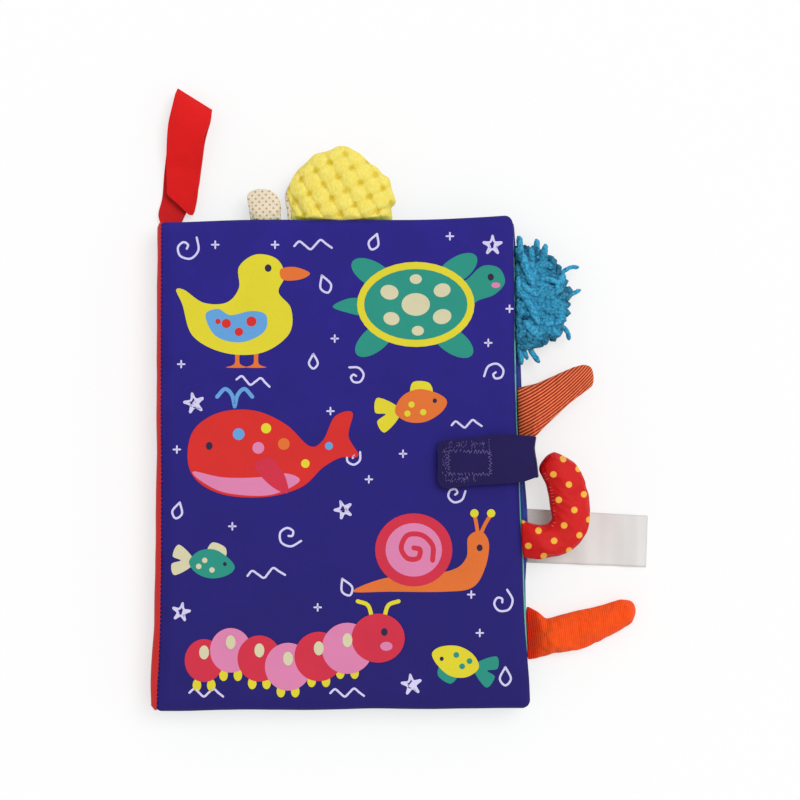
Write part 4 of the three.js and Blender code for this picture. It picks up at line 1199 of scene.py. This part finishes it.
mop_shape = bmesh.new()
pile_shade_and_tone = mop_shape.verts.layers.float.new("pile_shade_and_tone")
cord_rows = cord_rings + 4
for count, (radius, middle_line, shade) in enumerate(cords):
    for vert in bmesh.ops.create_grid(mop_shape, x_segments=cord_rows, y_segments=7, size=0.5)["verts"]:
        row, around = round((vert.co.x + 0.5) * cord_rows), (vert.co.y + 0.5) * 2 * math.pi
        near_end = min(row, cord_rows - row)
        from_end = min((0, 0.12, 0.5)[min(near_end, 2)] + max(near_end - 2, 0), 1.1)
        step = min(max(row - 2, 0), cord_rings)
        place = middle_line[step]
        way = (middle_line[min(step + 1, cord_rings)] - middle_line[max(step - 1, 0)]).normalized()
        side_way = Vector((-way.y, way.x, 0)).normalized()
        full = math.sqrt(max(1 - (1 - min(from_end, 1)) ** 2, 0.01))
        if near_end < 2:
            place = place + way * (1 if row > 2 else -1) * radius * (0.9 - from_end)
        fuzz = 1 + 0.3 * drift(count * 3.3, row * 1.9, round(math.cos(around), 3) * 2)
        out = side_way * math.cos(around) + way.cross(side_way) * math.sin(around)
        vert.co = place + out * radius * fuzz * full
        vert[pile_shade_and_tone] = shade
close_up(mop_shape, 0.001 * mm)
mop_cords = place_mesh("mop_cords", mop_shape, chenille)
sew_in(mop_cords, "leaf_2", "chenille_mop", (mop_root, mop_y), (7 * mm, 0), "chenille_blue")

# The label: a bare strip of woven satin, folded flat and sewn into the fore-edge seam of the back cover.
# It sags from its seam to the table.


def satin_weave(tree, under, height):
    """Fine ridges across the ribbon, and soft grey bands of sheen along it."""
    parts = axes(tree)
    bands = add_node(tree, "TexNoise", {"Scale": 90})
    bands.noise_dimensions = "1D"
    feed(tree, bands.inputs["W"], parts["X"])
    raised = total(tree, times(tree, waves(tree, parts["Y"], 0.45 * mm), 0.3), times(tree, height, 0.3))
    return mixed(tree, bands.outputs["Fac"], srgb(207, 206, 203), under), raised


label_y = -0.1447 * spine_height
label_root = fore_edge_x("back_cover", label_y) - 0.5 * mm
label_length = 57.6 * mm
label_shape = flat_grid(60, 20)
for vert in label_shape.verts:
    along, across = vert.co.x + 0.5, vert.co.y
    drop = read_share([(0, 1), (0.12, 0.8), (0.3, 0.45), (0.6, 0.14), (1, 0)], along) * 1.9 * mm
    wave = 0.35 * math.sin(along * 17 + across * 1.2) * (0.4 + along) + 0.25 * drift(along * 5, across * 2, 1)
    vert.co = (
        label_root + label_length * along + 0.9 * mm * across * along,
        label_y - (0.3 + 2.9 * along) * mm + across * (25.7 - 1.1 * along) * mm,
        0.85 * mm + drop + wave * mm * min(along * 5, 1),
    )
satin = cloth(
    "label satin", (243, 241, 239), (226, 223, 221), pitch=0.3 * mm, crease=1, depth=0.06 * mm, rough=0.42,
    sheen=0.05, pattern=satin_weave,
)
label = place_mesh("satin_label", label_shape, satin)
thicken(label, 0.3 * mm)
ride_on(label, "label", "label_satin", "label")

# The closing strap: a folded navy strap that comes up from the back cover, goes round the fore-edge and
# lies on the front cover. Its end is doubled and holds a hook patch, stitched in with a zigzag rectangle.
strap_y = 0.0166 * spine_height
strap_root = fore_edge_x("back_cover", strap_y - 10 * mm) + 0.3 * mm
strap_out = strap_root + 4 * mm
strap_wide = 20 * mm
flap_length = 44.8 * mm
flap_z = 4 * leaf_thickness + 3 * leaf_gap + 3.5 * mm
flap_tip = strap_out - 46 * mm
strap_navy = cloth(
    "strap cloth", (32, 18, 90), (18, 8, 62), pitch=0.6 * mm, crease=6, depth=0.16 * mm, rough=0.9, sheen=0.1,
)
# The strap's lower and upper edges aren't quite straight: rows of x, low and high in millimetres.
strap_rows = [
    (47.8, -9.9, 12.6), (51.7, -10.2, 12.9), (59.8, -9, 13.5), (65.3, -8.4, 14.1), (70.1, -8.2, 14.8),
    (75.5, -7.9, 15.2), (81, -7.6, 15.1), (86.5, -7, 14.7), (89.9, -5.8, 14.3), (93, -4.6, 13.9),
]


def strap_edge_y(x, across):
    x = max(x / mm, strap_rows[0][0])
    low, high = (read_share([(row[0], row[edge]) for row in strap_rows], x) * mm for edge in (1, 2))
    return low + (high - low) * (across + 0.5)


def ribbon_sheet(name, shape, thickness, finish, body, slot, node=None):
    """A strip of strap with its cloth thickness and softly rounded edges."""
    piece = place_mesh(name, shape, finish)
    thicken(piece, thickness)
    round_edge = piece.modifiers.new("rounded edge", "BEVEL")
    round_edge.width = 0.3 * thickness
    round_edge.segments = 2
    round_edge.limit_method = "ANGLE"
    ride_on(piece, body, slot, node or body)
    return piece


riser_low = 2.5 * mm
riser_shares = (
    (0, 0), (0.35, 0.03), (0.75, 0.12), (0.96, 0.3), (1, 0.5), (0.98, 0.72), (0.93, 0.87), (0.78, 0.965),
)
riser_rows = smooth_points([
    (strap_root + 4 * mm * out, riser_low + (flap_z - riser_low) * up) for out, up in riser_shares
], steps=5)
riser_shape = flat_grid(len(riser_rows) - 1, 20)
for vert in riser_shape.verts:
    x, z = riser_rows[round((vert.co.x + 0.5) * (len(riser_rows) - 1))]
    across = vert.co.y
    dent = 0.9 * mm * math.exp(-((across - 0.22) / 0.2) ** 2) * (z / flap_z)
    y = strap_edge_y(x, across)
    under = max(1 - z / (12 * mm), 0)
    vert.co = (x - dent + 2 * mm * max(-across, 0), y + (strap_y + across * strap_wide - y) * under, z)
riser = ribbon_sheet("strap_riser_cloth", riser_shape, 1.1 * mm, strap_navy, "strap_riser", "strap_navy")

flap_shape = flat_grid(56, 26)
corner = 4 * mm
for vert in flap_shape.verts:
    along, across = vert.co.x + 0.5, vert.co.y
    from_tip = along * flap_length
    short = max(corner - from_tip, 0)
    drawn = (corner - math.sqrt(max(corner ** 2 - short ** 2, 0))) * min(max(across * 6, -1), 1)
    ragged = 0.15 * mm * drift(along * 12, 0, across) * across * 2
    x = flap_tip + from_tip
    sag = read_share([(0, 0), (0.15, 0.1), (0.4, 0.22), (0.7, 0.2), (1, 0)], along)
    lift = (sag + 0.35 * drift(x / (9 * mm), across * 2, 3) + 0.5 * math.exp(-from_tip / (5 * mm))) * mm
    x += 3 * mm * max(-across, 0) * max(along - 0.85, 0) / 0.15
    vert.co = (x, strap_edge_y(x, across) - drawn + ragged, flap_z + lift)
flap = ribbon_sheet("strap_flap_cloth", flap_shape, 1.3 * mm, strap_navy, "strap_flap", "strap_navy")

# The hook patch's stitches show on the flap: a zigzag rectangle, and short runs where the end is turned in.
lavender = cloth("lavender thread", (150, 140, 190), (96, 86, 150), pitch=0.25 * mm, crease=2)
on_flap = top_of(flap, 0.68 * mm)
rng = random.Random(8)
flap_runs = []
for start, end in (
    ((51.2, -3.4), (70.7, -3.4)), ((70.7, -3.4), (70.7, 7)), ((70.7, 7), (51.2, 7.4)),
    ((51.2, 7.4), (51.2, -3.4)),
):
    start, end = Vector(start), Vector(end)
    side = (end - start).normalized().orthogonal()
    steps = round((end - start).length / 0.85)
    corners = [
        start.lerp(end, step / steps) + side * ((0.9 if step % 2 else -0.9) + rng.uniform(-0.35, 0.35))
        for step in range(steps + 1)
    ]
    for here, after in zip(corners, corners[1:]):
        if rng.random() < 0.86:
            flap_runs.append((here, after.lerp(here, rng.uniform(0, 0.3))))
for x, low, high in ((70, 8, 13), (50, -7, 9)):
    for step in range(round((high - low) / 1.1)):
        y = low + step * 1.1 + rng.uniform(-0.2, 0.2)
        flap_runs.append(((x, y), (x + rng.uniform(-0.3, 0.6), y + 0.6)))
for left, right, low, high, count in ((51, 68, 8.4, 11.4, 46), (51, 64, -7.6, -4.8, 40), (48.4, 50, -5, 8, 18)):
    for step in range(count):
        x, y = rng.uniform(left, right), rng.uniform(low, high)
        flap_runs.append(((x, y), (x + rng.uniform(-0.4, 0.4), y + rng.uniform(0.3, 0.9))))
flap_stitches = [tuple(on_flap(x * mm, y * mm) for x, y in run) for run in flap_runs]
sew("flap_stitches", flap_stitches, 0.12 * mm, lavender, "strap_flap", "strap_navy")

hook_navy = cloth(
    "hook patch", (44, 34, 108), (26, 18, 80), pitch=1 * mm, crease=1, depth=0.5 * mm, rough=0.7, sheen=0,
)
loop_navy = cloth(
    "loop patch", (50, 40, 112), (34, 26, 88), pitch=0.8 * mm, crease=4, depth=0.4 * mm, rough=0.95,
)
refinish("hook_patch", hook_navy)
refinish("loop_patch", loop_navy)

# The hanging strap: red ribbon from the head seam beside the spine, folded over at a slant and held back
# on itself by a small hook and loop patch, with a line of stitches along each edge.
hang_left = -head_width / 2 - slew - 2 * mm
hang_width = 17.5 * mm
hang_length = 64 * mm
hang_root = spine_height / 2 + 0.4 * mm
strap_red = cloth(
    "red strap cloth", (230, 8, 8), (208, 4, 6), pitch=0.45 * mm, crease=6, depth=0.12 * mm, rough=0.8,
    sheen=0.02,
)
strap_dark_red = cloth(
    "red strap underside", (214, 16, 20), (188, 10, 14), pitch=0.45 * mm, crease=6, depth=0.12 * mm, rough=0.8,
    sheen=0.02,
)
# Each row holds the left and right end of a line across the strap, and its height, as shares of its size.
lower_rows = [
    ((0.02, 0.002), (0.6, 0.01), 0.2), ((-0.04, 0.077), (0.73, 0.09), 0.1), ((0.06, 0.2), (1.02, 0.24), 0),
    ((0.11, 0.375), (1.13, 0.42), 0), ((0.2, 0.6), (1.22, 0.6), 0), ((0.25, 0.725), (1.3, 0.69), 0.03),
    ((0.38, 0.88), (1.38, 0.76), 0.14), ((0.49, 0.99), (1.43, 0.83), 0.42),
]
upper_rows = [
    ((0.5, 1), (1.44, 0.84), 0.56), ((0.45, 0.95), (1.42, 0.78), 0.86), ((0.38, 0.86), (1.38, 0.73), 1),
    ((0.27, 0.725), (1.25, 0.64), 0.98), ((0.22, 0.57), (1.21, 0.53), 0.78), ((0.2, 0.425), (1.13, 0.4), 0.52),
    ((0.21, 0.27), (1.08, 0.29), 0.5), ((0.23, 0.215), (1.04, 0.19), 0.5), ((0.5, 0.145), (1, 0.13), 0.5),
    ((0.76, 0.078), (0.965, 0.09), 0.5), ((0.84, 0.062), (0.92, 0.064), 0.5),
]


def hang_point(across, along, height):
    return (hang_left + hang_width * across, hang_root + hang_length * along, 0.9 * mm + 9 * mm * height)


def hang_layer(name, rows, finish, body, node):
    lefts = smooth_points([hang_point(*left, height) for left, right, height in rows], steps=6)
    rights = smooth_points([hang_point(*right, height) for left, right, height in rows], steps=6)
    shape = flat_grid(len(lefts) - 1, 16)
    for vert in shape.verts:
        step, across = round((vert.co.x + 0.5) * (len(lefts) - 1)), vert.co.y + 0.5
        place = lefts[step].lerp(rights[step], across)
        free = min(step, len(lefts) - 1 - step, 5) / 5
        place.z += 0.3 * mm * drift(place.x / (7 * mm), place.y / (7 * mm), 2) * free
        vert.co = place
    return ribbon_sheet(name, shape, 1.1 * mm, finish, body, "strap_red", node), lefts, rights


lower = hang_layer("hang_ribbon_lower", lower_rows, strap_dark_red, "hang_strap", "hang_strap_lower")[0]
upper, *hems = hang_layer("hang_ribbon_upper", upper_rows, strap_red, "hang_flap", "hang_strap_upper")

hem_runs = []
for edge, other in (hems, hems[::-1]):
    inner = [here.lerp(there, 0.1) + Vector((0, 0, 0.62 * mm)) for here, there in zip(edge, other)]
    for here, after in zip(inner[8:-6], inner[9:-6]):
        for start, end in ((0.05, 0.4), (0.55, 0.9)):
            hem_runs.append((here.lerp(after, start), here.lerp(after, end)))
sew("hang_hem_stitches", hem_runs, 0.1 * mm, red_thread, "hang_flap", "strap_red")

patch_red = cloth(
    "red hook and loop", (200, 26, 30), (160, 14, 20), pitch=1 * mm, crease=2, depth=0.4 * mm, rough=0.9,
)
refinish("hang_loop_patch", patch_red)
refinish("hang_hook_patch", patch_red)
